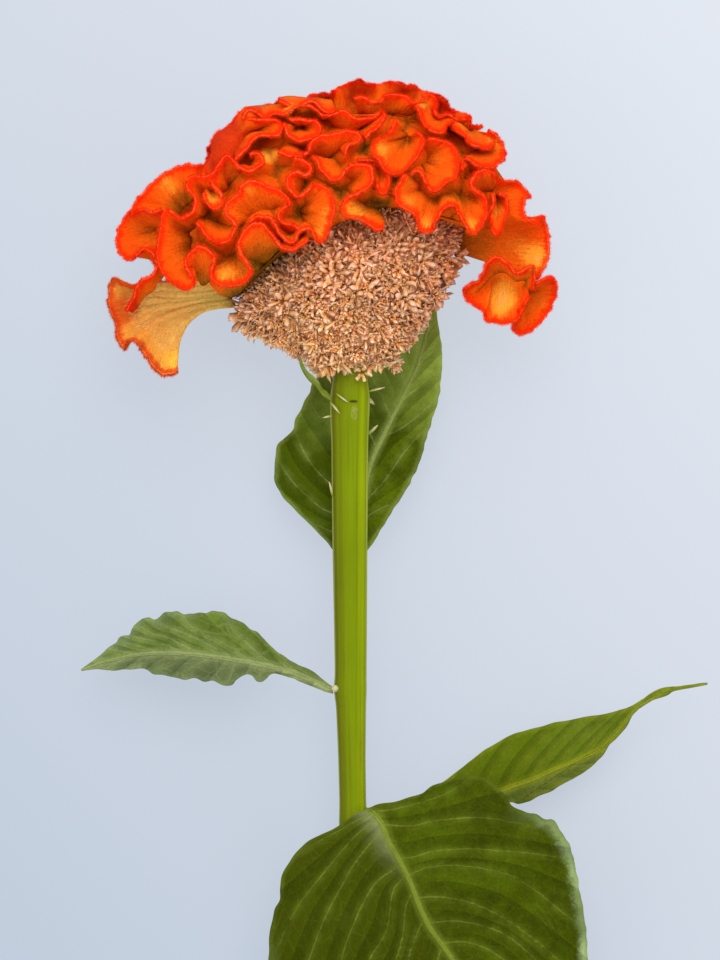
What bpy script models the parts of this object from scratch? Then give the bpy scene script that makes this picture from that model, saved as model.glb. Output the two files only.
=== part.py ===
"""Cut stem of a crested cockscomb, lying on a table with its face up.

Every point below is in millimetres in the plant's own frame: X to the right, Y up the stem toward
the comb, Z toward the viewer, with the top of the stem at the origin.  lay_down() then turns the
whole plant onto the table and scales it to metres.
"""
import math
import random

import bmesh
import bpy
import numpy as np
from mathutils import Matrix, Vector
from mathutils.bvhtree import BVHTree

MM = 0.001                      # table unit to metres
SEAT = 0.3                      # clearance between two nodes that touch in life

# The table, as the plant meets it: one line under the comb, one under the cut end of the stem
COMB_REST = (48.0, -26.0)       # (y, z)
STEM_REST = (-205.0, -3.0)
TABLE_TILT = math.atan2(STEM_REST[1] - COMB_REST[1], COMB_REST[0] - STEM_REST[0])

# Comb
DOME_CENTRE = np.array([-5.0, 36.0, 0.0])
DOME_RADII = np.array([59.0, 46.5, 29.0])
REAR_DEPTH = 26.5               # the rear folds are pressed flat by the weight of the head
FRILL_THICKNESS = 1.5
LIP_THICKNESS = 1.9
FRONT_STEP = 3.4                # column spacing along a lip
REAR_STEP = 4.6
FRILL_ROWS = 1                  # a frill that follows the dome is one band of faces from root to lip
SPREAD_ROWS = 3                 # one that spreads out to the side has more
FRILL_HEIGHT = 9.5
FRILL_SPREAD = 9.0              # how far the waves of a lip die out toward its root
FRILL_FLARE = 1.3
CORE_OUTLINE = [(-31, 21.5), (-26, 27), (-19, 32), (-10, 36.5), (0, 42), (10, 46), (22, 44.5), (29, 37),
                (34, 31), (40, 30), (44, 35), (45, 46), (41, 56), (35, 63), (24, 69.5), (8, 73),
                (-8, 72), (-23, 67), (-36, 56.5), (-43, 46), (-44, 36), (-38, 26)]
CORE_CENTRE = (-1.0, 55.0)
CORE_DEPTH = 21.5

# Lips of the frills. Two numbers: the depth comes from the dome and "lift". Three: a free point.
FRILLS = {
    "collar": dict(lift=1.0, rear=True, lip=[
        (-35.5, 57.5), (-37.5, 55.8), (-40, 55.3), (-42.7, 55.2), (-44, 53.6), (-43.2, 51.4), (-42, 49),
        (-42.2, 46.6), (-43.8, 44.7), (-46, 44.2), (-48, 45.3), (-49.6, 46.4), (-50.6, 44.5),
        (-50.9, 41.5), (-51.6, 38.5), (-51.9, 35), (-51.5, 31.5), (-49, 28), (-45.5, 25.6),
        (-42.5, 24.6), (-41.2, 26.5), (-43.5, 29.5), (-44, 32.5), (-42.5, 35.3), (-40.3, 36.9),
        (-38, 36.2), (-36.4, 34), (-37.4, 31), (-37.6, 28.5), (-36, 26.5), (-33.5, 25.6), (-30.5, 26),
        (-27.5, 27.3), (-26, 29.2), (-27, 31.5), (-29, 34), (-29.6, 37), (-28.6, 40), (-26.3, 42.5),
        (-23.8, 43), (-21.6, 41), (-20.2, 38), (-18.6, 35.4), (-16.3, 34.8), (-13.8, 35.9),
        (-11.5, 38)]),
    "left_mid": dict(lift=-1.0, rear=True, lip=[
        (-41.5, 42.5), (-40.6, 41.2), (-39, 39.5), (-37, 38), (-34.8, 37), (-32.8, 37.4), (-31.2, 39.2),
        (-31, 41.5), (-32.2, 43.8), (-33.6, 45.6), (-33.6, 47.6), (-31.3, 49.8), (-29.3, 50.6),
        (-29.6, 52.4), (-27.8, 54), (-24.5, 54.1), (-22, 52.4), (-19.8, 51.7), (-17.6, 50.2),
        (-16, 48.7), (-17, 46.8), (-18.6, 45.6), (-18.8, 43.8), (-17, 42.2), (-15, 41.3), (-13, 41)]),
    "lappet": dict(lift=0.5, rear=True, lip=[
        (-27, 42.5), (-25, 44), (-22.3, 44.4), (-20, 43.4), (-18.8, 41), (-17.7, 38.3), (-15.9, 36.9),
        (-14.3, 37.7), (-13.2, 39.7), (-11.6, 40.8), (-9.9, 39.9), (-8.7, 37.6), (-6.8, 38.3),
        (-5.4, 41.5), (-4.2, 45.5), (-4.5, 49.3), (-6.6, 52), (-9.5, 53.1), (-11.2, 51.4),
        (-12.8, 49.5), (-14.8, 49.2), (-16.4, 51.2), (-16.9, 53.8), (-15.6, 56), (-13.2, 56.4),
        (-11.3, 56), (-10.8, 57.8), (-12.3, 59.6), (-15, 60.4)]),
    "curl_left": dict(lip=[
        (-39.8, 50.5), (-38.6, 47.9), (-36.4, 46.6), (-34.4, 47.8), (-34.6, 50.2), (-36.6, 52.6),
        (-36.2, 55), (-35.7, 57.4), (-34.6, 60), (-32.8, 61.4), (-31.2, 60.6), (-30.4, 58.8),
        (-29, 57.1), (-27, 56.3), (-24.6, 56.8), (-23.1, 58.4), (-23.3, 60.4), (-24.8, 61.9),
        (-27, 61.2)]),
    "cup_left": dict(rear=True, lip=[
        (-31, 59.4), (-28.8, 60.9), (-27.4, 62.6), (-27, 64.4), (-25.6, 65.7), (-23, 65.9),
        (-20.4, 65.6), (-18.5, 66.7), (-18.1, 68.7), (-19.2, 70.4), (-22, 70.9), (-25.5, 70.4),
        (-28, 71)]),
    "cup_right": dict(lip=[
        (-18.3, 69.5), (-17.6, 66.6), (-15.2, 64.9), (-12.6, 64.6), (-9.8, 65.6), (-8.1, 67.3),
        (-8.2, 69.4), (-9.8, 70.7), (-13.5, 70.9), (-17, 70.7)]),
    "brow": dict(rear=True, lip=[
        (-29, 70.5), (-27.5, 72.6), (-25, 71.8), (-23, 71.2), (-20.8, 72.6), (-18.6, 71.6),
        (-16.5, 71.8), (-14.5, 73.6), (-11.6, 74.4), (-9, 73.2), (-6.6, 71.7), (-4.2, 72.2),
        (-2.2, 73.2), (-0.6, 71.9), (1.6, 71.3), (4.6, 71.2), (7.2, 71.5), (8.4, 73), (9.4, 72.2),
        (8.9, 70.2), (7.2, 68.4), (5.4, 66.8), (4.2, 65)]),
    "mid_lobe": dict(lip=[
        (-19.5, 61.8), (-17, 60.9), (-14.4, 60.2), (-12.4, 60), (-11.3, 61.8), (-11, 64), (-9.2, 65.8),
        (-6, 66.2), (-3, 67.1), (0, 67.6), (2.4, 66.6), (3, 64.8), (1.3, 63.8), (-0.7, 62.7),
        (-1.6, 60.7)]),
    "tongue": dict(rear=True, lip=[
        (-10.6, 60.5), (-8.9, 58.3), (-7.9, 56), (-6, 54.4), (-3.8, 53.9), (-2.1, 54.9), (-0.8, 56.8),
        (1.4, 58.1), (4, 58.5), (5.9, 57.4), (6.1, 55), (5.4, 52.8), (3.6, 51.2), (1, 50.2),
        (-1.2, 48.9), (-2.5, 46.8), (-2.2, 44.4), (-0.2, 43.3), (2.4, 43.1), (4.8, 42.2), (7, 41.3),
        (8.8, 41.2)]),
    "spur": dict(lift=-1.5, lip=[
        (1.5, 60.2), (4, 60), (6.4, 59.2), (8.6, 58.2), (10.2, 56.2), (10.5, 53.8), (9.8, 51.6),
        (8.8, 50.2), (7.4, 51.2), (6.4, 52.6)]),
    "sail": dict(rear=True, lip=[
        (11.3, 70.5), (11, 68.4), (9.8, 66.6), (7.6, 65.7), (5.9, 64.3), (5.3, 62.2), (6, 60.2),
        (7.5, 58.4), (9, 56.6), (11, 55.4), (13.2, 55.8), (15.2, 57.1), (16.8, 59), (18.4, 61.2),
        (19.4, 63.6), (19.1, 65.8), (17.6, 67)]),
    "shell": dict(lift=0.5, rear=True, lip=[
        (15.5, 56), (17.5, 56.5), (19, 55.2), (19.8, 53.2), (21.2, 51.3), (23, 51), (24.6, 52.3),
        (25.8, 53.6), (27.6, 54.1), (28.6, 56), (28.8, 59), (28.4, 62), (26.5, 64.4), (23.5, 65.4),
        (20.8, 66)]),
    "right_low": dict(lift=1.5, rear=True, lip=[
        (14.5, 55.8), (12.8, 54), (11.8, 51.5), (11.9, 48.8), (13.4, 46.4), (16, 45), (17.8, 43.2),
        (18.6, 40.9), (20.3, 39.6), (21.9, 40.4), (22.8, 42.9), (24.2, 45.4), (26.3, 47), (28.5, 47),
        (29.6, 44.9), (30, 42.2), (31.2, 39.9), (33, 39.8), (35, 41.9), (36.4, 44.8), (36.4, 47.7),
        (35.6, 50), (33.4, 51.4), (32, 53.2), (32, 55.3), (33.7, 57), (36.3, 57.2), (38.6, 55.9)]),
    "crest_right": dict(rear=True, lip=[
        (17.2, 75), (18.3, 72.4), (19.1, 70), (20.4, 68), (22.2, 66.7), (24, 66.3), (25.2, 68),
        (26.2, 69.6), (27.6, 70.4), (28, 69), (29.2, 67.4), (30.6, 66), (31, 64.4), (33, 63),
        (36, 62.6), (38, 63.6), (38.6, 65.6), (37, 67.8)]),
    "knob": dict(lip=[
        (37, 68.8), (39.2, 67.6), (41, 65), (41.5, 62), (40.5, 59.4), (38, 58.1), (35, 57.8),
        (32.4, 58.6), (30.5, 59.8), (29.4, 58.4), (29.6, 56.2)]),
    "top_back": dict(rear=True, lip=[
        (1, 76.4), (3.5, 77), (5.5, 76.4), (8, 76.2), (10, 77.6), (12.5, 78.2), (15, 77.4), (17, 75.6),
        (19, 77.6), (21.5, 78.3), (23.6, 76.2), (22.5, 73.8), (24, 72), (26.4, 72.6), (28, 71.6),
        (30, 71.8), (31.8, 71.6)]),
    "small_tongue": dict(lift=1.0, lip=[
        (36.8, 50.4), (37.4, 47.5), (36.9, 45.2), (37.9, 43.5), (37.7, 41), (38.6, 38.8), (40, 40.4),
        (41, 43.2), (42, 46), (41.4, 49), (39.5, 51)]),
    "horn": dict(lip=[
        (-46.4, 3.0, 7), (-48.6, 2.1, 7), (-51, 2.4, 7), (-53.4, 4.2, 8), (-54.9, 6.8, 9),
        (-56.2, 9.3, 10), (-58.2, 10.9, 11), (-60.2, 10.5, 10), (-61.9, 10.2, 7), (-62.9, 12.2, 4),
        (-63.6, 15.5, 2), (-65, 19.3, 1), (-65.6, 23, 1), (-65.4, 27, 2), (-64, 28.8, 4),
        (-61.5, 27, 8), (-58.8, 26.4, 10), (-56, 27.2, 13), (-53, 28.4, 15)],
        root=[(-30.6, 21.2, 0), (-31.5, 23, 1), (-32.5, 25, 2), (-34, 28, 4)],
        middle=[(-43.2, 17.6, 3), (-46, 18, 4), (-48.5, 19.5, 4), (-50, 21.5, 4), (-50.5, 23, 5),
                (-49, 25, 7), (-47.5, 27, 9)]),
    "left_bowl": dict(lip=[
        (-53, 29.6, 16), (-52.3, 33, 16), (-53.4, 35.6, 15), (-56, 36.8, 14), (-58.8, 35.8, 11),
        (-61.5, 34.1, 6), (-63.3, 37.5, 3), (-62.9, 41.5, 3), (-60.6, 45, 6), (-59, 48, 3),
        (-56.6, 51.3, 6), (-53, 55.2, 2), (-49, 57.9, 5), (-45, 59.7, 0), (-41.5, 59.4, 4),
        (-38.5, 60.6, 0)],
        root=[(-36, 30, 4), (-38, 34, 2), (-39, 40, 1), (-37, 46, 0), (-32, 52, 0)]),
    "left_bowl_rear": dict(lip=[
        (-50, 28, -16), (-52, 32, -15), (-55, 34, -11), (-58.5, 34.6, -8), (-60.6, 38, -7),
        (-59.6, 42, -10), (-57.5, 46, -7), (-55, 49.6, -11), (-51, 53.4, -8), (-47, 56, -12),
        (-43, 57.6, -8), (-39, 58.6, -10)],
        root=[(-36, 30, -4), (-38, 34, -2), (-39, 40, -1), (-37, 46, 0), (-32, 52, 0)]),
    "shoulder": dict(lip=[
        (38, 56.5, 9), (39.6, 54.8, 11), (41.8, 55.4, 9), (44.8, 54.6, 8), (47, 52.6, 8),
        (48.3, 50.3, 10), (46.5, 48.6, 14), (46.2, 46, 16), (47.9, 43.9, 16), (50.4, 43.5, 14),
        (51.7, 45.4, 9), (52.6, 43.8, 5), (53.5, 40.5, 4), (53.7, 37, 4), (53.2, 33.5, 5),
        (52, 30.8, 6), (50.3, 28.3, 5)],
        root=[(31, 50, 2), (31, 46, 2), (31, 42, 2), (31, 39, 2), (32, 36, 2)]),
    "shoulder_rear": dict(lip=[
        (37, 56, -9), (40.5, 54.4, -12), (44, 53, -8), (46.6, 50, -10), (47, 46.6, -13), (49.6, 43.4, -9),
        (50.6, 40, -11), (50, 36.6, -8), (49, 33, -10), (46.6, 30.4, -7)],
        root=[(31, 50, -2), (31, 46, -2), (31, 42, -2), (31, 39, -2), (32, 36, -2)]),
    "trumpet": dict(lip=[
        (49, 26.6, 10), (49.4, 29.2, 13), (48.9, 31.2, 15), (47.4, 31.5, 16), (46, 30.3, 16),
        (44.2, 30.3, 17), (42.6, 31.7, 18), (40.6, 33, 19), (38.4, 33.4, 19), (36.3, 32, 18),
        (35, 29.6, 17), (34, 27.7, 15), (31.8, 27, 14), (30.2, 26, 12), (30.5, 23.6, 10),
        (32.2, 21.4, 10), (34.6, 20.1, 11), (36, 19, 12), (35.8, 17.4, 11), (38, 16.4, 10),
        (41, 16, 10), (44, 16.8, 12), (45.6, 18.4, 13)],
        root=[(42, 33, 2), (41, 32, 2), (40, 31, 2), (40, 30, 2), (41, 29, 2), (42, 29, 3)]),
    "wing": dict(lip=[
        (45.4, 18.8, 12), (43.6, 15.4, 9), (45.2, 13.5, 6), (47.6, 13.8, 5), (50, 15.4, 5),
        (52.6, 18.6, 5), (54.6, 22.2, 5), (55.5, 25.6, 6), (55.2, 27.8, 7), (53.9, 28.9, 10),
        (51.4, 27.8, 13), (49.2, 26.8, 12)],
        root=[(43, 28, 2), (43.5, 28.5, 2), (44, 29, 2), (44, 30, 2)]),
    "crown": dict(swing=8.0, wave=13.0, lip=[
        (-39, 60.5), (-37.8, 63), (-36.6, 66), (-34.8, 69), (-32, 71), (-29, 72.8), (-26, 75),
        (-23, 76), (-20, 75.6), (-17, 77), (-13, 77.8), (-9, 78.3), (-5.4, 78), (-4.4, 79.8),
        (-2, 81), (1.5, 81.4), (5, 81), (8, 81.8), (10.5, 82), (13, 81), (15, 80.2), (16.8, 81.2),
        (18.2, 80), (21, 79.3), (24, 78), (26, 75), (28.5, 73.9), (31.5, 73.2), (32.4, 71.6),
        (31.5, 70.2), (33.5, 69.5), (36, 70)]),
}

# Floret mass under the comb: plan outline, half depth, and the florets that cover it
MASS_OUTLINE = [(-4.5, 1.5), (4.5, 1.5), (8, 5), (12, 9.5), (15, 14), (18.5, 20), (24.3, 29), (28, 37),
                (27.8, 42.4), (19.6, 47.9), (5, 49.2), (-7.6, 44.9), (-16.4, 38), (-25, 29), (-27, 22),
                (-25, 17), (-21, 13.5), (-12.5, 10), (-7.5, 5.5)]
MASS_DEPTH = 14.6
# Space that the comb leaves free for it, and the neck that joins it to the stem: (y, radius)
SPACE_OUTLINE = [(-5, 1.5), (4.5, 1.5), (9, 2.6), (14, 5.4), (18, 10.5), (22, 17.5), (28.3, 28), (32, 36.5),
                (29, 43.5), (20, 49), (5, 50.5), (-8, 46), (-18, 38), (-28, 28.5), (-31, 22),
                (-28.5, 14.8), (-23, 10.4), (-13.5, 6.3), (-8, 2.6)]
MASS_CENTRE = (0.0, 27.0)
SPACE_DEPTH = 19.0
NECK = [(1.5, 4.4), (4.0, 5.6), (9.0, 9.0), (15.0, 10.0)]
FLORET_LENGTH = 4.4
FLORET_RADIUS = 3.5
FLORET_SPACING = 4.3
FLORET_LIMIT = 160
FLORET_LINE = (36.5, 0.28)      # no florets above this line, y at x = 0 and slope, inside the comb
STAR_POINTS = 5

# Stem: (y, half width, half depth, x of its axis)
STEM_SECTIONS = [(1.2, 4.6, 3.8, -0.2), (-1.5, 5.3, 4.4, -0.2), (-6, 5.4, 4.5, -0.3), (-14, 5.0, 4.1, -0.3),
                 (-45, 4.7, 3.9, -0.3), (-79.5, 4.25, 3.6, -0.1), (-82.4, 4.6, 3.8, -0.3),
                 (-85.3, 4.1, 3.5, 0.0), (-100, 3.7, 3.4, 0.3), (-113, 3.6, 3.3, 0.6),
                 (-119, 3.9, 3.6, 0.7), (-126, 3.6, 3.3, 0.8), (-165, 3.6, 3.3, 1.0),
                 (-205, 3.6, 3.3, 1.2)]
STEM_SIDES = 20
STEM_RIBS = 5
STEM_RIB_DEPTH = 0.06
# Papery bracts at the neck: foot, tip, half width
BRACTS = [((-3.2, -4.6, 2.6), (-8.2, -8.2, 5.0), 0.9), ((-2.2, -2.4, 3.0), (-0.8, -5.6, 5.2), 1.1),
          ((3.4, -1.4, 2.4), (8.6, -0.9, 4.6), 0.8), ((3.5, -13.2, 1.3), (7.4, -10.8, 2.8), 0.8),
          ((0.6, -4.6, 3.4), (0.5, -10.0, 5.1), 1.3), ((2.8, -2.2, -2.6), (6.4, -5.2, -4.8), 1.0),
          ((-2.8, -2.6, -2.6), (-5.6, -6.8, -4.6), 1.0)]

# Leaves: left margin, midrib and right margin, each from base to tip (x, y, z)
LEAF_THICKNESS = 0.75
LEAF_STATIONS = 20
LEAF_HALF_COLUMNS = 2
LEAFLET_STATIONS = 6
LEAVES = {
    "leaf_front": dict(ripple=1.6, waves=7, left=[
        (3.0, -115.5, 3.5), (-4, -119, 7.2), (-12.7, -123.4, 8.2), (-17.5, -128.8, 9), (-19, -133.7, 10),
        (-19, -138.5, 10.5), (-21, -143.1, 10.5), (-21.9, -148.8, 11), (-21.9, -155.3, 11.5),
        (-19, -165, 11), (-12, -175, 10.5), (-2, -184, 9), (12, -191, 7), (28, -196, 4), (51, -199, 0.5)],
        mid=[(3.9, -115.2, 2.7), (9.5, -119.3, 8.4), (11.9, -126.6, 12.5), (16.5, -134.5, 15),
             (23, -145.5, 17), (27.8, -155.3, 17), (34, -167, 14.5), (41, -180, 9.5), (47, -191, 4),
             (51.3, -199.6, 0)],
        right=[(4.6, -114.8, 2.1), (12.7, -112.3, 6.6), (18.9, -109.9, 8), (23, -107.2, 9),
               (27.8, -105.8, 10), (33.2, -105, 11), (37.3, -106.4, 12), (41.2, -109.9, 12.5),
               (43.5, -113.1, 13), (49.1, -115.3, 13), (53.5, -116.6, 12), (56.2, -120.2, 11.5),
               (59, -125.8, 11), (60.2, -131.2, 11), (61.3, -137.7, 11), (62.9, -143.9, 10.5),
               (63.5, -155.3, 9.5), (62, -168, 7), (58, -182, 4), (51.6, -199, 0.5)]),
    "leaf_right": dict(ripple=1.2, waves=6, left=[
        (4.9, -121.6, -0.5), (12, -117, -1.5), (20, -110.6, -3), (30.8, -102.9, -4), (35.6, -99.6, -4.5),
        (44.3, -94.5, -4.5), (50.8, -92.3, -4), (58.6, -91, -3.5), (70.5, -88.6, -2), (76.7, -86.1, -1),
        (80.7, -83.7, 0), (86.4, -81.8, 1), (95.9, -80.3, 2)],
        mid=[(4.9, -122.8, -0.5), (15, -119.5, -2), (28, -114.5, -3.5), (41.9, -109.6, -5),
             (51.6, -106, -5.5), (58.6, -101.8, -5.5), (66.4, -95.6, -4.5), (75, -88.6, -2.5),
             (84.8, -83, 0), (96.2, -80.6, 2)],
        right=[(4.9, -124, -0.5), (14, -124, -1.5), (28, -119, -2), (36, -115, -2), (42.7, -112.3, -2.5),
               (45.9, -113.1, -2.5), (51.6, -111.5, -3), (58.6, -108.3, -3.5), (64.8, -103.7, -3.5),
               (69.7, -98, -3.5), (73.7, -92.9, -3), (76.7, -88.8, -2), (80.7, -85.8, -1),
               (86, -83.6, 0.5), (95.9, -80.9, 2)]),
    "leaf_left": dict(ripple=1.5, waves=6, left=[
        (-4.9, -83.4, 0), (-8.4, -82.9, 0.5), (-13.8, -80.3, 1), (-17.8, -78.6, 1.5),
        (-21.3, -77.9, 2.5), (-24, -79.7, 3), (-26.7, -78.5, 2.5), (-30, -79, 2.5), (-32.7, -80.8, 2.5),
        (-36.7, -80.2, 2), (-40.8, -79.4, 1.5), (-46.2, -79.1, 1), (-50.2, -78.5, 0.5),
        (-54.3, -77.6, 0), (-62.4, -76.9, -1), (-67.8, -76.9, -2), (-72.6, -77.3, -3)],
        mid=[(-4.9, -82.5, 0), (-8, -81.6, 0.4), (-13, -79.4, 1.2), (-19.2, -76.8, 2.2),
             (-30, -74.3, 3.5), (-42.1, -72.4, 3.5), (-54.3, -72.9, 1.5), (-65.1, -75.3, -1.5),
             (-73, -77, -3)],
        right=[(-4.9, -81.6, 0), (-11.1, -77.7, 0), (-16.5, -74.8, 0), (-20.5, -71.6, -0.5),
               (-24, -68, -1), (-28.6, -64.8, -1.5), (-34, -61.8, -2), (-36.7, -61, -2),
               (-44.8, -61.8, -2), (-50.2, -61.6, -2), (-54.8, -62.9, -2), (-58.3, -64.8, -2),
               (-59.7, -68, -2), (-66.4, -73.4, -2.5), (-72.6, -76.7, -3)]),
    "leaf_behind": dict(ripple=1.2, waves=6, left=[
        (-2.2, -46.6, -5.0), (-4.9, -44.5, -6), (-7, -41.9, -7), (-11.1, -37.8, -8), (-15.7, -33.2, -9),
        (-19.2, -29.2, -9.5), (-20.8, -25.1, -10), (-20.3, -17.3, -11.5), (-18.4, -14.6, -12),
        (-15.7, -11.9, -12.5), (-14.9, -8.6, -13), (-11.6, -2.4, -15), (-10.3, 0.8, -16),
        (-4, 8, -18.4), (6, 15, -20), (15, 20, -20), (22.4, 23.4, -19)],
        mid=[(-0.6, -47.2, -4.9), (0.8, -40, -7), (3, -32, -9), (5.7, -20.3, -12), (13.8, -3.8, -16),
             (17.6, 4.3, -17.6), (20.3, 13.2, -18.6), (22.7, 23.8, -19)],
        right=[(1.6, -46.8, -5.0), (4.3, -45, -6), (7.3, -40.5, -7), (10.5, -35.1, -8),
               (14.6, -28.9, -9), (18.9, -20.2, -10.5), (20.2, -14.9, -11.5), (23.2, -5.7, -13),
               (24.2, -0.3, -14), (24.8, 6.5, -15.5), (24.2, 14, -17), (23.4, 19.4, -18),
               (23.1, 23.4, -19)]),
    "neck_leaflet": dict(ripple=0.0, waves=1, left=[
        (-5.5, -4.6, 3.2), (-8.3, -2.6, 4.6), (-11.2, 0.7, 5.8), (-13.4, 4.1, 6.4), (-13.9, 7, 6.6)],
        mid=[(-5.3, -3.9, 3.2), (-7.6, -1.8, 5), (-10.4, 1.4, 6.2), (-12.8, 4.4, 6.8), (-13.7, 7.2, 6.8)],
        right=[(-5.1, -3.2, 3.4), (-6.9, -1.1, 5.4), (-9.6, 2.2, 6.6), (-12.2, 4.8, 7), (-13.4, 7, 6.8)]),
}

# Colours and finishes, one per node
FINISHES = {
    "stem": ((0.30, 0.47, 0.05), 0.45),
    "comb": ((0.82, 0.10, 0.01), 0.75),
    "florets": ((0.62, 0.33, 0.25), 0.7),
    "leaf_front": ((0.07, 0.17, 0.03), 0.42),
    "leaf_right": ((0.10, 0.22, 0.04), 0.45),
    "leaf_left": ((0.16, 0.26, 0.10), 0.5),
    "leaf_behind": ((0.10, 0.22, 0.04), 0.45),
    "neck_leaflet": ((0.12, 0.27, 0.05), 0.45),
}


# Curves and grids

def catmull(points, samples=16):
    """Dense points of a smooth curve through the given ones."""
    p = np.asarray(points, float)
    ext = np.vstack([2 * p[0] - p[1], p, 2 * p[-1] - p[-2]])
    out = []
    for a, b, c, d in zip(ext, ext[1:], ext[2:], ext[3:]):
        for t in np.linspace(0, 1, samples, endpoint=False):
            out.append(0.5 * (2 * b + (c - a) * t + (2 * a - 5 * b + 4 * c - d) * t ** 2
                              + (3 * b - a - 3 * c + d) * t ** 3))
    return np.array(out + [p[-1]])


def lengths(p):
    return np.concatenate([[0], np.cumsum(np.linalg.norm(np.diff(p, axis=0), axis=1))])


def evenly(points, count):
    """The smooth curve through the points as count + 1 points at even distances."""
    dense = catmull(points)
    s = lengths(dense)
    u = np.linspace(0, s[-1], count + 1)
    return np.column_stack([np.interp(u, s, dense[:, k]) for k in range(dense.shape[1])])


def averaged(p, step, width):
    """The curve with its waves smoothed out, its ends held."""
    reach = max(1, int(round(3 * width / step)))
    weights = np.exp(-0.5 * (np.arange(-reach, reach + 1) * step / width) ** 2)
    weights /= weights.sum()
    ext = np.vstack([np.repeat(p[:1], reach, 0), p, np.repeat(p[-1:], reach, 0)])
    return np.column_stack([np.convolve(ext[:, k], weights, "valid") for k in range(3)])


def dome_depth(p):
    x, y = p[:, 0], p[:, 1]
    r = ((x - DOME_CENTRE[0]) / DOME_RADII[0]) ** 2
    r += (np.maximum(y - DOME_CENTRE[1], 0) / DOME_RADII[1]) ** 2
    return DOME_RADII[2] * np.sqrt(np.maximum(1 - r, 0.02))


def inward(p):
    """Unit vectors from the dome's surface into the comb."""
    q = (p - DOME_CENTRE) / DOME_RADII ** 2
    q[:, 1] = np.maximum(q[:, 1], -0.004)
    return -q / np.linalg.norm(q, axis=1)[:, None]


def frill_grid(spec, step):
    """Rows of points from the root of a frill to its lip."""
    rows = SPREAD_ROWS if "root" in spec else FRILL_ROWS
    lip = np.array([tuple(p) + (0.0,) * (3 - len(p)) for p in spec["lip"]])
    if len(spec["lip"][0]) == 2:
        lip[:, 2] = dome_depth(lip) + spec.get("lift", 0.0)
    count = max(3, int(round(lengths(catmull(lip))[-1] / step)))
    lip = evenly(lip, count)
    if "swing" in spec:
        lip[:, 2] = spec["swing"] * np.sin(2 * math.pi * step * np.arange(count + 1) / spec["wave"])
    soft = averaged(lip, step, FRILL_SPREAD)
    if "root" not in spec:
        root = soft + inward(soft.copy()) * FRILL_HEIGHT
        rows_out = [root * (1 - t) + soft * t + (lip - soft) * t ** FRILL_FLARE
                    for t in np.linspace(0, 1, rows + 1)]
        return np.array(rows_out)
    root = evenly(spec["root"], count)
    bend = np.zeros_like(root)
    if "middle" in spec:
        bend = evenly(spec["middle"], count) - 0.5 * (root + lip)
    return np.array([root * (1 - t) + lip * t + bend * 4 * t * (1 - t)
                     for t in np.linspace(0, 1, rows + 1)])


def turned_to_rear(grid):
    """A front frill as its own rear neighbour: mirrored in depth, shifted a little, pressed flat."""
    g = grid.copy()
    x, y = grid[..., 0], grid[..., 1]
    g[..., 0] = DOME_CENTRE[0] + (x - DOME_CENTRE[0]) * 0.95 + 1.6 * np.sin(y / 8.0)
    g[..., 1] = DOME_CENTRE[1] + (y - DOME_CENTRE[1]) * 0.95 + 1.4 * np.sin(x / 6.0)
    g[..., 2] = -np.minimum(grid[..., 2], REAR_DEPTH + 0.6 * np.sin(x / 3.0))
    return g


# Meshes

def new_object(name, verts, faces, collection):
    mesh = bpy.data.meshes.new(name)
    mesh.from_pydata([tuple(v) for v in verts], [], faces)
    mesh.validate()
    obj = bpy.data.objects.new(name, mesh)
    collection.objects.link(obj)
    bm = bmesh.new()
    bm.from_mesh(mesh)
    bmesh.ops.recalc_face_normals(bm, faces=bm.faces)
    bm.to_mesh(mesh)
    bm.free()
    return obj


def sheet(name, grid, thickness, collection, alternate=False):
    """A closed solid round a grid of points, thickness[row] deep across its surface."""
    rows, cols, _ = grid.shape
    along = np.gradient(grid, axis=1)
    across = np.gradient(grid, axis=0)
    normal = np.cross(along, across)
    normal /= np.maximum(np.linalg.norm(normal, axis=2), 1e-9)[..., None]
    half = 0.5 * np.asarray(thickness)[:, None, None] * normal
    verts = np.vstack([(grid + half).reshape(-1, 3), (grid - half).reshape(-1, 3)])
    n = rows * cols
    faces = []
    for i in range(rows - 1):
        for j in range(cols - 1):
            a, b, c, d = i * cols + j, i * cols + j + 1, (i + 1) * cols + j + 1, (i + 1) * cols + j
            cut = [(a, b, c), (a, c, d)] if not alternate or (i + j) % 2 else [(a, b, d), (b, c, d)]
            faces += cut + [tuple(n + k for k in reversed(tri)) for tri in cut]
    rim = [j for j in range(cols)] + [i * cols + cols - 1 for i in range(1, rows)]
    rim += [(rows - 1) * cols + j for j in range(cols - 2, -1, -1)]
    rim += [i * cols for i in range(rows - 2, 0, -1)]
    for a, b in zip(rim, rim[1:] + rim[:1]):
        faces += [(a, n + a, b), (b, n + a, n + b)]
    return new_object(name, verts, faces, collection)


def pillow(name, outline, centre, depth, rings, collection, grow=0.0, count=40):
    """A cushion over a plan outline: both faces bulge to the depth at the centre."""
    around = evenly(outline + outline[:1], count)[:-1]
    c = np.array(centre)
    spread = around - c
    spread *= 1 + grow / np.linalg.norm(spread, axis=1)[:, None]
    verts, faces = [], []
    levels = [math.cos(a) for a in np.linspace(-math.pi / 2, math.pi / 2, 2 * rings + 1)[1:-1]]
    heights = [math.sin(a) for a in np.linspace(-math.pi / 2, math.pi / 2, 2 * rings + 1)[1:-1]]
    n = len(around)
    for level, height in zip(levels, heights):
        verts += [(c[0] + level * s[0], c[1] + level * s[1], height * (depth + grow)) for s in spread]
    verts += [(c[0], c[1], -(depth + grow)), (c[0], c[1], depth + grow)]
    for k in range(len(levels) - 1):
        for j in range(n):
            a, b = k * n + j, k * n + (j + 1) % n
            faces += [(a, b, b + n), (a, b + n, a + n)]
    low, high = len(verts) - 2, len(verts) - 1
    last = (len(levels) - 1) * n
    for j in range(n):
        faces += [((j + 1) % n, j, low), (last + j, last + (j + 1) % n, high)]
    return new_object(name, verts, faces, collection)


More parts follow.
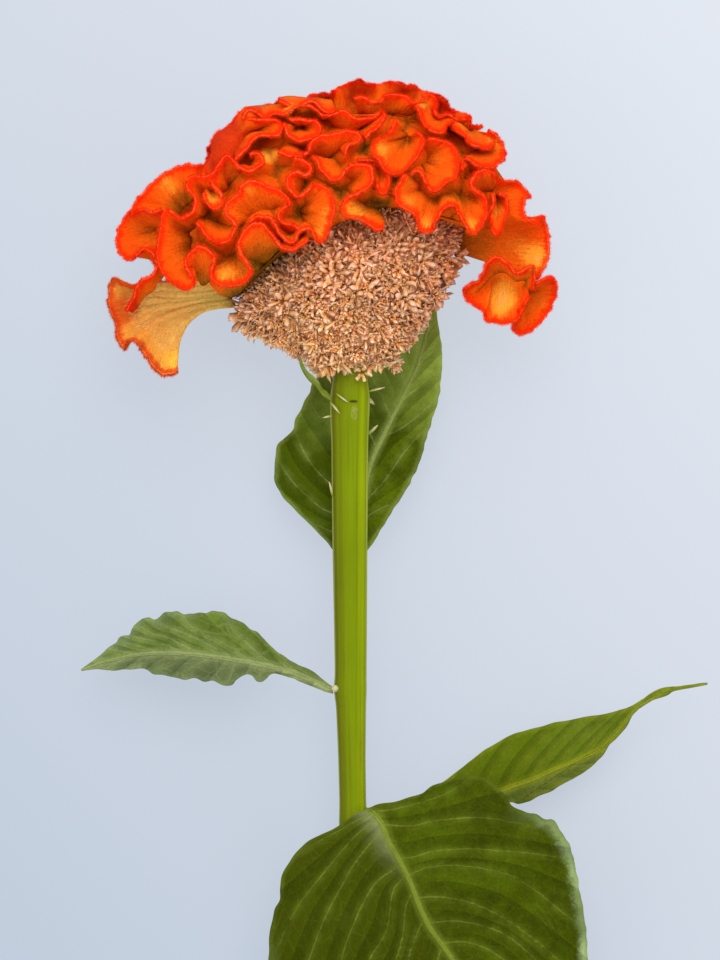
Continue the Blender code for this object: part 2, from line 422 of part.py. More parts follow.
def combine(base, others, operation):
    """One Boolean over many solids, applied to the base; the others are removed."""
    group = bpy.data.collections.new("operands")
    bpy.context.scene.collection.children.link(group)
    for obj in others:
        for owner in list(obj.users_collection):
            owner.objects.unlink(obj)
        group.objects.link(obj)
    mod = base.modifiers.new("join", "BOOLEAN")
    mod.operation = operation
    mod.solver = "MANIFOLD"
    mod.operand_type = "COLLECTION"
    mod.collection = group
    bpy.context.view_layer.update()
    graph = bpy.context.evaluated_depsgraph_get()
    result = bpy.data.meshes.new_from_object(base.evaluated_get(graph))
    base.modifiers.clear()
    old = base.data
    base.data = result
    bpy.data.meshes.remove(old)
    for obj in list(group.objects):
        bpy.data.objects.remove(obj)
    bpy.data.collections.remove(group)


def tidy(obj, flat):
    """Joins faces that lie within the flat angle of each other, then splits all into triangles."""
    bm = bmesh.new()
    bm.from_mesh(obj.data)
    bmesh.ops.dissolve_limit(bm, angle_limit=math.radians(flat), verts=bm.verts, edges=bm.edges)
    bmesh.ops.triangulate(bm, faces=bm.faces)
    bm.to_mesh(obj.data)
    bm.free()


# The pieces

def half_space(collection):
    """A block under the table's surface, wide enough for the whole plant."""
    y0, z0 = COMB_REST
    corners = []
    for drop in (0.0, 60.0):
        for x, y in ((-120, -260), (120, -260), (120, 140), (-120, 140)):
            corners.append((x, y, z0 - math.tan(TABLE_TILT) * (y - y0) - drop))
    faces = [(0, 1, 2, 3), (7, 6, 5, 4), (0, 4, 5, 1), (1, 5, 6, 2), (2, 6, 7, 3), (3, 7, 4, 0)]
    return new_object("table_block", corners, faces, collection)


def make_comb(collection, cutters):
    comb = pillow("comb", CORE_OUTLINE, CORE_CENTRE, CORE_DEPTH, 5, collection, count=34)
    grids = {name: frill_grid(spec, FRONT_STEP) for name, spec in FRILLS.items()}
    for name, spec in FRILLS.items():
        if spec.get("rear"):
            grids[name + "_rear"] = turned_to_rear(frill_grid(spec, REAR_STEP))
    frills = [sheet(name, grid, [FRILL_THICKNESS] * (len(grid) - 1) + [LIP_THICKNESS], collection)
              for name, grid in grids.items()]
    combine(comb, frills, "UNION")
    space = pillow("space", SPACE_OUTLINE, MASS_CENTRE, SPACE_DEPTH, 5, cutters, grow=SEAT, count=30)
    combine(comb, [space, half_space(cutters)], "DIFFERENCE")
    tidy(comb, flat=4.0)
    return comb


def floret_star(foot, out, twist, size, rng):
    """One floret: five petals round a raised eye, on a narrow foot sunk in the mass."""
    side = out.orthogonal().normalized()
    side.rotate(Matrix.Rotation(twist, 3, out))
    other = out.cross(side)
    verts = [foot - out * 2.2, foot + out * FLORET_LENGTH * 0.6 * size]
    for k in range(2 * STAR_POINTS):
        angle = math.pi * k / STAR_POINTS
        tip = k % 2 == 0
        reach = FLORET_RADIUS * size * (1.0 if tip else 0.45) * rng.uniform(0.92, 1.08)
        lift = FLORET_LENGTH * size * (0.95 if tip else 0.45)
        verts.append(foot + (side * math.cos(angle) + other * math.sin(angle)) * reach + out * lift)
    n = 2 * STAR_POINTS
    faces = []
    for k in range(0, n, 2):
        before, tip, after = 2 + (k - 1) % n, 2 + k, 2 + k + 1
        faces += [(1, before, tip), (1, tip, after), (before, after, tip), (0, after, before)]
    return verts, faces


def neck_solid(collection):
    """The taper from the floret mass down to the top of the stem."""
    n = 12
    verts = [(r * math.cos(2 * math.pi * k / n), y, 0.82 * r * math.sin(2 * math.pi * k / n))
             for y, r in NECK for k in range(n)]
    faces = [tuple(range(n)), tuple(reversed(range(len(verts) - n, len(verts))))]
    for i in range(len(NECK) - 1):
        for k in range(n):
            a, b = i * n + k, i * n + (k + 1) % n
            faces.append((a, b, b + n, a + n))
    return new_object("neck", verts, faces, collection)


def make_florets(collection, comb):
    rng = random.Random(11)
    mass = pillow("florets", MASS_OUTLINE, MASS_CENTRE, MASS_DEPTH, 4, collection, count=26)
    combine(mass, [neck_solid(collection)], "UNION")
    graph = bpy.context.evaluated_depsgraph_get()
    tree = BVHTree.FromObject(mass, graph)
    comb_tree = BVHTree.FromObject(comb, graph)
    feet, solids = [], []
    for _ in range(40000):
        ray = Vector((rng.gauss(0, 1), rng.gauss(0, 1), rng.gauss(0, 1))).normalized()
        hit, out, _, _ = tree.ray_cast(Vector((MASS_CENTRE[0], MASS_CENTRE[1], 0)), ray)
        if hit is None or hit.y > FLORET_LINE[0] + FLORET_LINE[1] * hit.x or hit.y < 4.5:
            continue
        if len(feet) >= FLORET_LIMIT or any((hit - f).length < FLORET_SPACING for f in feet):
            continue
        out = out + Vector((rng.uniform(-0.2, 0.2), rng.uniform(-0.35, 0.05), rng.uniform(-0.2, 0.2)))
        size = rng.uniform(0.85, 1.0)
        verts, faces = floret_star(hit, out.normalized(), rng.uniform(0, 6.28), size, rng)
        star_tree = BVHTree.FromPolygons(verts, faces)
        if star_tree.overlap(comb_tree) or any(comb_tree.find_nearest(v)[3] < SEAT for v in verts[1:]):
            continue
        feet.append(hit)
        solids.append(new_object(f"star_{len(feet)}", verts, faces, collection))
    combine(mass, solids, "UNION")
    tidy(mass, flat=2.0)
    print("florets", len(feet))
    return mass


def make_stem(collection, cutters):
    verts, faces = [], []
    n = STEM_SIDES
    for y, width, depth, x in STEM_SECTIONS:
        for k in range(n):
            angle = 2 * math.pi * k / n
            rib = 1 + STEM_RIB_DEPTH * (math.cos(2 * STEM_RIBS * angle) - 1) * 0.5
            verts.append((x + width * rib * math.cos(angle), y, depth * rib * math.sin(angle)))
    for i in range(len(STEM_SECTIONS) - 1):
        for k in range(n):
            a, b = i * n + k, i * n + (k + 1) % n
            faces.append((a, b, b + n, a + n))
    faces += [tuple(range(n)), tuple(reversed(range(len(verts) - n, len(verts))))]
    stem = new_object("stem", verts, faces, collection)
    bracts = []
    for k, (foot, tip, width) in enumerate(BRACTS):
        foot, tip = Vector(foot), Vector(tip)
        run = (tip - foot).normalized()
        side = run.cross(Vector((0, 0, 1))).normalized() * width
        thick = side.cross(run).normalized() * 0.5
        waist = foot.lerp(tip, 0.55)
        ring = [waist + side, waist + thick, waist - side, waist - thick]
        tris = [(j, (j + 1) % 4, 4) for j in range(4)] + [((j + 1) % 4, j, 5) for j in range(4)]
        bracts.append(new_object(f"bract_{k}", ring + [tip, foot], tris, collection))
    combine(stem, bracts, "UNION")
    combine(stem, [half_space(cutters)], "DIFFERENCE")
    tidy(stem, flat=0.5)
    return stem


def leaf_grid(spec, stations, columns):
    """Rows across a leaf from its left margin over the midrib to its right margin."""
    left, mid, right = (evenly(spec[k], stations) for k in ("left", "mid", "right"))
    rows = []
    for k in range(-columns, columns + 1):
        f = abs(k) / columns
        edge = left if k < 0 else right
        row = mid * (1 - f) + edge * f
        s = np.linspace(0, 1, stations + 1)
        calm = np.sin(math.pi * np.clip(s * 1.02, 0, 1)) ** 0.7
        phase = 0.0 if k < 0 else 1.7
        wave = np.sin(2 * math.pi * spec["waves"] * s + phase) * calm
        row[:, 2] += spec["ripple"] * f ** 2 * wave + 0.25 * math.sin(math.pi * f) * calm
        rows.append(row)
    return np.array(rows)


def make_leaf(name, spec, collection):
    small = name == "neck_leaflet"
    grid = leaf_grid(spec, *((LEAFLET_STATIONS, 1) if small else (LEAF_STATIONS, LEAF_HALF_COLUMNS)))
    return sheet(name, grid, [LEAF_THICKNESS] * len(grid), collection)


def finish(obj):
    colour, roughness = FINISHES[obj.name]
    mat = bpy.data.materials.new(obj.name + "_finish")
    mat.use_nodes = True
    shader = mat.node_tree.nodes["Principled BSDF"]
    shader.inputs["Base Color"].default_value = colour + (1.0,)
    shader.inputs["Roughness"].default_value = roughness
    obj.data.materials.clear()
    obj.data.materials.append(mat)


def lay_down(objects):
    """Turns the plant face up onto the table, in metres, with its plan centre at the origin."""
    turn = Matrix.Rotation(TABLE_TILT, 4, "X")
    for obj in objects:
        obj.data.transform(Matrix.Scale(MM, 4) @ turn)
    points = [v.co for obj in objects for v in obj.data.vertices]
    low = Vector(min(p[k] for p in points) for k in range(3))
    high = Vector(max(p[k] for p in points) for k in range(3))
    shift = Vector((-(low.x + high.x) / 2, -(low.y + high.y) / 2, -low.z))
    for obj in objects:
        obj.data.transform(Matrix.Translation(shift))
    return shift


def main():
    for obj in list(bpy.data.objects):
        bpy.data.objects.remove(obj)
    plant = bpy.data.collections.new("cockscomb_flower")
    cutters = bpy.data.collections.new("cutters")
    for collection in (plant, cutters):
        bpy.context.scene.collection.children.link(collection)
    comb = make_comb(plant, cutters)
    pieces = [make_stem(plant, cutters), comb, make_florets(plant, comb)]
    pieces += [make_leaf(name, spec, plant) for name, spec in LEAVES.items()]
    shift = lay_down(pieces)
    for obj in pieces:
        finish(obj)
        print("node", obj.name, len(obj.data.polygons), "triangles")
    print("shift", [round(1000 * v, 3) for v in shift], "mm, tilt", round(math.degrees(TABLE_TILT), 3))


main()
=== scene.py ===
"""Cockscomb flower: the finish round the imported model, laid face up on a pale floor.

Every table of points is in millimetres in the plant's own frame: X to the right, Y up the stem
toward the comb, Z out of the comb's face, with the top of the stem at the origin.  laid() turns
such points onto the table, in metres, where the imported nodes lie.
"""
import math
import random

import bpy
import numpy as np
from mathutils import Matrix, Vector
from mathutils.bvhtree import BVHTree


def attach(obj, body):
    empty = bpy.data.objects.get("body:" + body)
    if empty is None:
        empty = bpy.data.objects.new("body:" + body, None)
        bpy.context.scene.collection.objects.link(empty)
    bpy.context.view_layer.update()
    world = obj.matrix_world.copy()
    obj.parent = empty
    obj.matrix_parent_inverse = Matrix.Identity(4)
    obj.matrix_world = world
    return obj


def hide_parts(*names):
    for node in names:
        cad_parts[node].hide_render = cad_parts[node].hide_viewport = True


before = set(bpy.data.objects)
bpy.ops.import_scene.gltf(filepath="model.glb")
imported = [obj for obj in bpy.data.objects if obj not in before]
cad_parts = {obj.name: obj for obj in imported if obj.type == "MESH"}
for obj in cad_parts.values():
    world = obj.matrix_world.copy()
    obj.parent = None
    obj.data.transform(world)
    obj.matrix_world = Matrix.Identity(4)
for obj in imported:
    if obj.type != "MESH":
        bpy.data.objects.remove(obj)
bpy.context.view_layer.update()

bl_info = {
    "name": "Cockscomb flower",
    "version": (1, 0, 0),
    "blender": (4, 5, 0),
    "location": "3D View > Sidebar > Cockscomb",
    "description": "Comb, florets, stem and leaves of a cut cockscomb, with its floor, lights and camera",
    "category": "Object",
}

MM = 0.001

# How the plant lies: the table runs under the comb and under the cut end, both as (y, z)
COMB_REST = (48.0, -26.0)
STEM_REST = (-205.0, -3.0)
TABLE_TILT = math.atan2(STEM_REST[1] - COMB_REST[1], COMB_REST[0] - STEM_REST[0])
PLANT_SHIFT = np.array([-11.599, 61.010, 21.548])   # mm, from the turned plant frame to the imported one

# Comb: the dome that its lips lie on, and how a frill runs from its root to its lip
DOME_CENTRE = np.array([-5.0, 36.0, 0.0])
DOME_RADII = np.array([59.0, 46.5, 29.0])
REAR_DEPTH = 26.5
FRILL_HEIGHT = 11.0
FRILL_CROSS = 0.5               # how far the roots swing past the middle line of the waves
FRILL_DISH = 1.7                # above 1, a face lies open near its lip and plunges near its root
FRILL_SPREAD = 9.0
ROOT_SPREAD = 2.0
FRILL_FLARE = 1.15
CORE_OUTLINE = [(-31, 22.5), (-25, 29), (-19, 34), (-10, 39), (0, 44), (10, 47), (20, 46.5), (27, 43.5),
                (32, 41.5), (37, 41.5), (42, 42.5), (45, 48), (41, 56), (35, 63), (24, 69.5), (8, 73),
                (-8, 72), (-23, 67), (-36, 56.5), (-43, 46), (-44, 36), (-38, 26)]
CORE_CENTRE = (-1.0, 55.0)
CORE_DEPTH = 15.5

# Lips of the frills. Two numbers: the depth comes from the dome and "lift". Three: a free point.
# "roots" holds the share of the lip's run and the root's point there, "root" and "middle" free curves.
# "low" is the share of the rise that colours the root, "dish" and "bulge" shape the face, "crease" folds
# it, and "swing" and "wave" are the height and length of a lip that winds to and fro.
FRILLS = {
    "collar": dict(lift=1.0, rear=True, lip=[
        (-35.5, 57.5), (-37.5, 55.8), (-40, 55.3), (-42.7, 55.2), (-44, 53.6), (-43.2, 51.4), (-42, 49),
        (-42.2, 46.6), (-43.8, 44.7), (-46, 44.2), (-48, 45.3), (-49.6, 46.4), (-50.6, 44.5), (-50.9, 41.5),
        (-51.6, 38.5), (-51.9, 35), (-51.5, 31.5), (-49, 28), (-45.5, 25.6), (-42.5, 24.6), (-41.2, 26.5),
        (-43.5, 29.5), (-44, 32.5), (-42.5, 35.3), (-40.3, 36.9), (-38, 36.2), (-36.4, 34), (-37.4, 31),
        (-37.6, 28.5), (-36, 26.5), (-33.5, 25.6), (-30.5, 26), (-27.5, 27.3), (-26, 29.2), (-27, 31.5),
        (-29, 34), (-29.6, 37), (-28.6, 40), (-26.3, 42.5), (-23.8, 43), (-21.6, 41), (-20.2, 38),
        (-18.6, 35.4), (-16.3, 34.8), (-13.8, 35.9), (-11.5, 38)],
        roots=[(0, -37, 50.5), (0.07, -38, 50.5), (0.13, -38, 46), (0.2, -43, 41), (0.3, -42.5, 38),
            (0.4, -43.2, 35.5), (0.45, -42.5, 34), (0.5, -41, 27.5), (0.55, -39.8, 26), (0.6, -35.5, 31),
            (0.66, -32, 34.5), (0.72, -31.2, 35.5), (0.77, -30.5, 36), (0.81, -26, 32.5), (0.86, -23, 31),
            (0.9, -20.5, 33.5), (0.95, -17, 39.5), (1, -11, 41)]),
    "left_mid": dict(lift=-1.0, rear=True, lip=[
        (-41.5, 42.5), (-40.6, 41.2), (-39, 39.5), (-37, 38), (-34.8, 37), (-32.8, 37.4), (-31.2, 39.2),
        (-31, 41.5), (-32.2, 43.8), (-33.6, 45.6), (-33.6, 47.6), (-31.3, 49.8), (-29.3, 50.6),
        (-29.6, 52.4), (-27.8, 54), (-24.5, 54.1), (-22, 52.4), (-19.8, 51.7), (-17.6, 50.2), (-16, 48.7),
        (-17, 46.8), (-18.6, 45.6), (-18.8, 43.8), (-17, 42.2), (-15, 41.3), (-13, 41)],
        roots=[(0, -40.5, 45.5), (0.1, -38, 44), (0.2, -34, 42.5), (0.3, -27, 43.8), (0.4, -25, 43.5),
            (0.5, -23.5, 44), (0.6, -21.5, 45), (0.7, -19.8, 45.5), (0.8, -19.2, 45.8), (0.87, -17.8, 41.5),
            (1, -13, 39.6)]),
    "lappet": dict(lift=0.5, rear=True, lip=[
        (-27, 42.5), (-25, 44), (-22.3, 44.4), (-20, 43.4), (-18.8, 41), (-17.7, 38.3), (-15.9, 36.9),
        (-14.3, 37.7), (-13.2, 39.7), (-11.6, 40.8), (-9.9, 39.9), (-8.7, 37.6), (-6.8, 38.3), (-5.4, 41.5),
        (-4.2, 45.5), (-4.5, 49.3), (-6.6, 52), (-9.5, 53.1), (-11.2, 51.4), (-12.8, 49.5), (-14.8, 49.2),
        (-16.4, 51.2), (-16.9, 53.8), (-15.6, 56), (-13.2, 56.4), (-11.3, 56), (-10.8, 57.8), (-12.3, 59.6),
        (-15, 60.4)],
        roots=[(0, -26.5, 40.5), (0.1, -22, 39), (0.17, -18.5, 38), (0.22, -16.5, 41), (0.29, -12.5, 42.5),
            (0.36, -13, 45), (0.4, -13.5, 46), (0.5, -14, 46.5), (0.6, -14, 47), (0.67, -13.7, 48.5),
            (0.73, -13, 51), (0.8, -11.6, 53.2), (0.88, -11.8, 53.6), (0.94, -14, 56), (1, -17, 56)]),
    "curl_left": dict(lip=[
        (-39.8, 50.5), (-38.6, 47.9), (-36.4, 46.6), (-34.4, 47.8), (-34.6, 50.2), (-36.6, 52.6),
        (-36.2, 55), (-35.7, 57.4), (-34.6, 60), (-32.8, 61.4), (-31.2, 60.6), (-30.4, 58.8), (-29, 57.1),
        (-27, 56.3), (-24.6, 56.8), (-23.1, 58.4), (-23.3, 60.4), (-24.8, 61.9), (-27, 61.2)],
        roots=[(0, -38.5, 53), (0.1, -37.3, 53.2), (0.2, -36.5, 53), (0.3, -34, 52), (0.4, -32.5, 52.5),
            (0.5, -32, 53.5), (0.6, -30, 55), (0.68, -27.3, 58.9), (0.8, -26.8, 59.4), (1, -26.8, 59.6)]),
    "cup_left": dict(rear=True, lip=[
        (-31, 59.4), (-28.8, 60.9), (-27.4, 62.6), (-27, 64.4), (-25.6, 65.7), (-23, 65.9), (-20.4, 65.6),
        (-18.5, 66.7), (-18.1, 68.7), (-19.2, 70.4), (-22, 70.9), (-25.5, 70.4), (-28, 71)],
        roots=[(0, -30.5, 61.8), (0.1, -30, 63.8), (0.2, -28.8, 66.4), (0.3, -27, 68), (0.4, -25, 68.6),
            (0.6, -24.5, 68.8), (0.8, -24.5, 69), (1, -27, 69)]),
    "cup_right": dict(lip=[
        (-18.3, 69.5), (-17.6, 66.6), (-15.2, 64.9), (-12.6, 64.6), (-9.8, 65.6), (-8.1, 67.3),
        (-8.2, 69.4), (-9.8, 70.7), (-13.5, 70.9), (-17, 70.7)],
        roots=[(0, -13.5, 68.6), (1, -13, 68.6)]),
    "brow": dict(rear=True, lip=[
        (-29, 70.5), (-27.5, 72.6), (-25, 71.8), (-23, 71.2), (-20.8, 72.6), (-18.6, 71.6), (-16.5, 71.8),
        (-14.5, 73.6), (-11.6, 74.4), (-9, 73.2), (-6.6, 71.7), (-4.2, 72.2), (-2.2, 73.2), (-0.6, 71.9),
        (1.6, 71.3), (4.6, 71.2), (7.2, 71.5), (8.4, 73), (9.4, 72.2), (8.9, 70.2), (7.2, 68.4),
        (5.4, 66.8), (4.2, 65)],
        roots=[(0, -29.5, 74.5), (0.2, -20.5, 76), (0.3, -15, 76.5), (0.4, -10.5, 76.5), (0.46, -7, 75),
            (0.52, -4, 68), (0.6, -1.5, 66.8), (0.7, 1, 67.5), (0.8, 3.5, 69), (0.9, 2, 68.2),
            (1, 1.5, 67)]),
    "mid_lobe": dict(lip=[
        (-19.5, 61.8), (-17, 60.9), (-14.4, 60.2), (-12.4, 60), (-11.3, 61.8), (-11, 64), (-9.2, 65.8),
        (-6, 66.2), (-3, 67.1), (0, 67.6), (2.4, 66.6), (3, 64.8), (1.3, 63.8), (-0.7, 62.7), (-1.6, 60.7)],
        roots=[(0, -17, 64.2), (0.1, -15, 64.2), (0.2, -13.5, 64), (0.3, -9.5, 60.5), (0.4, -8, 60),
            (0.5, -7, 60), (0.6, -5, 60.5), (0.7, -3.5, 61), (0.8, -2, 63.5), (0.9, -2.5, 64.5),
            (1, -4, 63.5)]),
    "tongue": dict(rear=True, lip=[
        (-10.6, 60.5), (-8.9, 58.3), (-7.9, 56), (-6, 54.4), (-3.8, 53.9), (-2.1, 54.9), (-0.8, 56.8),
        (1.4, 58.1), (4, 58.5), (5.9, 57.4), (6.1, 55), (5.4, 52.8), (3.6, 51.2), (1, 50.2), (-1.2, 48.9),
        (-2.5, 46.8), (-2.2, 44.4), (-0.2, 43.3), (2.4, 43.1), (4.8, 42.2), (7, 41.3), (8.8, 41.2)],
        roots=[(0, -4, 59.6), (0.1, -3.5, 59.6), (0.2, -2.6, 59.8), (0.3, -2, 55.5), (0.4, -1.6, 53),
            (0.5, -2.2, 52.4), (0.6, -2.6, 52), (0.66, 2.5, 48.6), (0.7, 5.8, 47), (0.8, 6.2, 46.6),
            (0.9, 7, 46.5), (1, 9.6, 43.8)]),
    "spur": dict(lift=-1.5, lip=[
        (1.5, 60.2), (4, 60), (6.4, 59.2), (8.6, 58.2), (10.2, 56.2), (10.5, 53.8), (9.8, 51.6),
        (8.8, 50.2), (7.4, 51.2), (6.4, 52.6)],
        roots=[(0, 2, 58.6), (0.3, 5, 58), (0.5, 6.5, 57.4), (0.7, 6.8, 57.2), (1, 6.2, 56.6)]),
    "sail": dict(rear=True, lip=[
        (11.3, 70.5), (11, 68.4), (9.8, 66.6), (7.6, 65.7), (5.9, 64.3), (5.3, 62.2), (6, 60.2),
        (7.5, 58.4), (9, 56.6), (11, 55.4), (13.2, 55.8), (15.2, 57.1), (16.8, 59), (18.4, 61.2),
        (19.4, 63.6), (19.1, 65.8), (17.6, 67)],
        roots=[(0, 15, 68), (0.2, 15, 66.8), (0.5, 15.4, 65.8), (0.8, 15.4, 66), (1, 15.4, 67)]),
    "shell": dict(lift=0.5, rear=True, lip=[
        (15.5, 56), (17.5, 56.5), (19, 55.2), (19.8, 53.2), (21.2, 51.3), (23, 51), (24.6, 52.3),
        (25.8, 53.6), (27.6, 54.1), (28.6, 56), (28.8, 59), (28.4, 62), (26.5, 64.4), (23.5, 65.4),
        (20.8, 66)],
        roots=[(0, 18, 58.4), (0.2, 18.3, 59), (0.5, 18.5, 59.5), (0.8, 18.8, 60.5), (1, 18.5, 62.5)]),
    "right_low": dict(lift=1.5, rear=True, lip=[
        (14.5, 55.8), (12.8, 54), (11.8, 51.5), (11.9, 48.8), (13.4, 46.4), (16, 45), (17.8, 43.2),
        (18.6, 40.9), (20.3, 39.6), (21.9, 40.4), (22.8, 42.9), (24.2, 45.4), (26.3, 47), (28.5, 47),
        (29.6, 44.9), (30, 42.2), (31.2, 39.9), (33, 39.8), (35, 41.9), (36.4, 44.8), (36.4, 47.7),
        (35.6, 50), (33.4, 51.4), (32, 53.2), (32, 55.3), (33.7, 57), (36.3, 57.2), (38.6, 55.9)],
        roots=[(0, 19, 53), (0.1, 20, 52), (0.2, 21.5, 51.5), (0.3, 22.5, 51.5), (0.4, 24.5, 51.6),
            (0.5, 27, 51.5), (0.6, 29.5, 51.2), (0.7, 30.5, 51), (0.8, 31.5, 51), (0.86, 35, 51.2),
            (0.92, 37, 52), (1, 39, 52.5)]),
    "crest_right": dict(rear=True, lip=[
        (17.2, 75), (18.3, 72.4), (19.1, 70), (20.4, 68), (22.2, 66.7), (24, 66.3), (25.2, 68),
        (26.2, 69.6), (27.6, 70.4), (28, 69), (29.2, 67.4), (30.6, 66), (31, 64.4), (33, 63), (36, 62.6),
        (38, 63.6), (38.6, 65.6), (37, 67.8)],
        roots=[(0, 21, 75.5), (0.1, 22.5, 74.5), (0.3, 24.5, 73), (0.5, 27.5, 73), (0.6, 31, 70),
            (0.8, 31.5, 69.5), (1, 32, 69)]),
    "knob": dict(lip=[
        (37, 68.8), (39.2, 67.6), (41, 65), (41.5, 62), (40.5, 59.4), (38, 58.1), (35, 57.8), (32.4, 58.6),
        (30.5, 59.8), (29.4, 58.4), (29.6, 56.2)],
        roots=[(0, 35, 66), (0.3, 35, 64.2), (0.6, 34, 63.2), (0.8, 32.5, 62.5), (1, 32, 60.5)]),
    "top_back": dict(rear=True, lip=[
        (1, 76.4), (3.5, 77), (5.5, 76.4), (8, 76.2), (10, 77.6), (12.5, 78.2), (15, 77.4), (17, 75.6),
        (19, 77.6), (21.5, 78.3), (23.6, 76.2), (22.5, 73.8), (24, 72), (26.4, 72.6), (28, 71.6),
        (30, 71.8), (31.8, 71.6)],
        roots=[(0, 1.5, 73.2), (0.2, 7, 72.8), (0.3, 11, 73), (0.45, 15.5, 72.8), (0.6, 19.5, 73.2),
            (0.75, 21.5, 71.5), (0.9, 27, 69.8), (1, 30.5, 69.6)]),
    "small_tongue": dict(lift=1.0, lip=[
        (36.8, 50.4), (37.4, 47.5), (36.9, 45.2), (37.9, 43.5), (37.7, 41), (38.6, 38.8), (40, 40.4),
        (41, 43.2), (42, 46), (41.4, 49), (39.5, 51)],
        roots=[(0, 38, 51.5), (0.3, 38.5, 51), (0.7, 38.8, 51), (1, 39.2, 52)]),
    "horn": dict(lip=[
        (-46.4, 3.0, 7), (-48.6, 2.1, 7), (-51, 2.4, 7), (-53.4, 4.2, 8), (-54.9, 6.8, 9), (-56.2, 9.3, 10),
        (-58.2, 10.9, 11), (-60.2, 10.5, 10), (-61.9, 10.2, 7), (-62.9, 12.2, 4), (-63.6, 15.5, 2),
        (-65, 19.3, 1), (-65.6, 23, 1), (-65.4, 27, 2), (-64, 28.8, 4), (-61.5, 27, 8), (-58.8, 26.4, 10),
        (-56, 27.2, 13), (-53, 28.4, 15)],
        root=[(-30.6, 21.2, 0), (-31.5, 23, 1), (-32.5, 25, 2), (-34, 28, 4)],
        middle=[(-43.2, 17.6, 3), (-46, 18, 4), (-48.5, 19.5, 4), (-50, 21.5, 4), (-50.5, 23, 5),
            (-49, 25, 7), (-47.5, 27, 9)]),
    "left_bowl": dict(dish=1.3, lip=[
        (-57.5, 45.4, 12), (-59.2, 47.6, 5), (-57.6, 50.2, 4), (-55.4, 52.6, 5), (-53, 55, 3),
        (-50.6, 56.9, 4), (-48, 58.2, 4), (-45, 59.5, 2), (-42.4, 59.3, 4), (-39.8, 59.4, 2),
        (-38.2, 61.2, 3), (-36.8, 59.2, 12)],
        roots=[(0, -46, 46, 4), (0.5, -45, 47.5, 2), (1, -41, 51, 4)]),
    "left_low": dict(dish=1.3, low=0.3, lip=[
        (-60.3, 19.6, 8.5), (-59, 22.4, 11), (-57.4, 25.8, 14), (-55, 28.2, 17), (-53, 30.2, 17.5),
        (-52.3, 33, 16.5), (-53.4, 35.4, 15), (-55.8, 36, 14), (-57.8, 34.6, 12), (-59.8, 33.6, 9),
        (-61.8, 34.4, 6), (-63.2, 37.5, 4), (-63, 41.5, 3), (-61, 45, 4), (-58.4, 46.6, 9), (-56, 46.9, 13),
        (-53.4, 46.2, 15), (-50.8, 47.2, 16)],
        roots=[(0, -59, 19, 5), (0.06, -57.4, 21.2, 6.5), (0.13, -55.2, 23.6, 8.5), (0.2, -52.4, 26, 10.5),
            (0.27, -49.5, 30, 10), (0.34, -47.5, 36.5, 9), (0.45, -50.5, 40, 7), (0.6, -52.5, 41.5, 4),
            (0.85, -52.5, 42, 3), (1, -47, 44, 8)]),
    "left_bowl_rear": dict(lip=[
        (-50, 28, -16), (-52, 32, -15), (-55, 34, -11), (-58.5, 34.6, -8), (-60.6, 38, -7),
        (-59.6, 42, -10), (-57.5, 46, -7), (-55, 49.6, -11), (-51, 53.4, -8), (-47, 56, -12),
        (-43, 57.6, -8), (-39, 58.6, -10)],
        root=[(-36, 30, -4), (-38, 34, -2), (-39, 40, -1), (-37, 46, 0), (-32, 52, 0)]),
    "shoulder": dict(low=0.15, lip=[
        (38, 56.5, 9), (39.6, 54.8, 11), (41.8, 55.4, 9), (44.8, 54.6, 8), (47, 52.6, 8), (48.3, 50.3, 10),
        (46.5, 48.6, 14), (46.2, 46, 16), (47.9, 43.9, 16), (50.4, 43.5, 14), (51.7, 45.4, 9),
        (52.6, 43.8, 5), (53.5, 40.5, 4), (53.7, 37, 4), (53.2, 33.5, 5), (52, 30.8, 6), (50.3, 28.3, 5)],
        roots=[(0, 34, 51, 6), (0.3, 33, 47, 5), (0.6, 30.5, 42, 4), (0.8, 28.5, 39, 3), (1, 29.5, 35, 3)]),
    "shoulder_rear": dict(lip=[
        (37, 56, -9), (40.5, 54.4, -12), (44, 53, -8), (46.6, 50, -10), (47, 46.6, -13), (49.6, 43.4, -9),
        (50.6, 40, -11), (50, 36.6, -8), (49, 33, -10), (46.6, 30.4, -7)],
        root=[(31, 50, -2), (31, 46, -2), (31, 42, -2), (31, 39, -2), (32, 36, -2)]),
    "trumpet": dict(dish=1.3, low=0.45, lip=[
        (30.2, 26, 12), (30.5, 23.6, 10), (32.2, 21.4, 10), (34.6, 20.1, 11), (36, 19, 12),
        (35.8, 17.4, 11), (38, 16.4, 10), (41, 16, 10), (44, 16.8, 12), (45.6, 18.4, 13), (46.4, 21, 13),
        (47.5, 23.2, 12.5)],
        roots=[(0, 34.2, 27.4, 9), (0.3, 36.6, 29.8, 7), (0.55, 40.4, 30.8, 6), (0.8, 44.2, 29.4, 5),
            (1, 48.4, 27, 6)]),
    "trumpet_rim": dict(dish=1.0, lip=[
        (49.2, 25.4, 11), (49.6, 27.4, 12), (49.4, 29.2, 13), (48.9, 31.2, 15), (47.4, 31.5, 16),
        (46, 30.3, 16), (44.2, 30.3, 17), (42.6, 31.7, 18), (40.6, 33, 19), (38.4, 33.4, 19),
        (36.3, 32, 18), (35, 29.6, 17), (34, 27.7, 15), (31.8, 27, 14), (30.2, 26, 12), (30, 24.6, 11)],
        roots=[(0, 47, 25.4, 8), (0.12, 47, 27.6, 9), (0.3, 46.4, 28, 10), (0.45, 44, 27.8, 10),
            (0.6, 40.6, 30.4, 10), (0.72, 37.6, 29.6, 9), (0.85, 34.6, 25.6, 8), (1, 33, 24, 8)]),
    "wing": dict(dish=1.2, low=0.25, lip=[
        (45.4, 20, 13), (43.6, 15.4, 9), (45.2, 13.5, 6), (47.6, 13.8, 5), (50, 15.4, 5), (52.6, 18.6, 5),
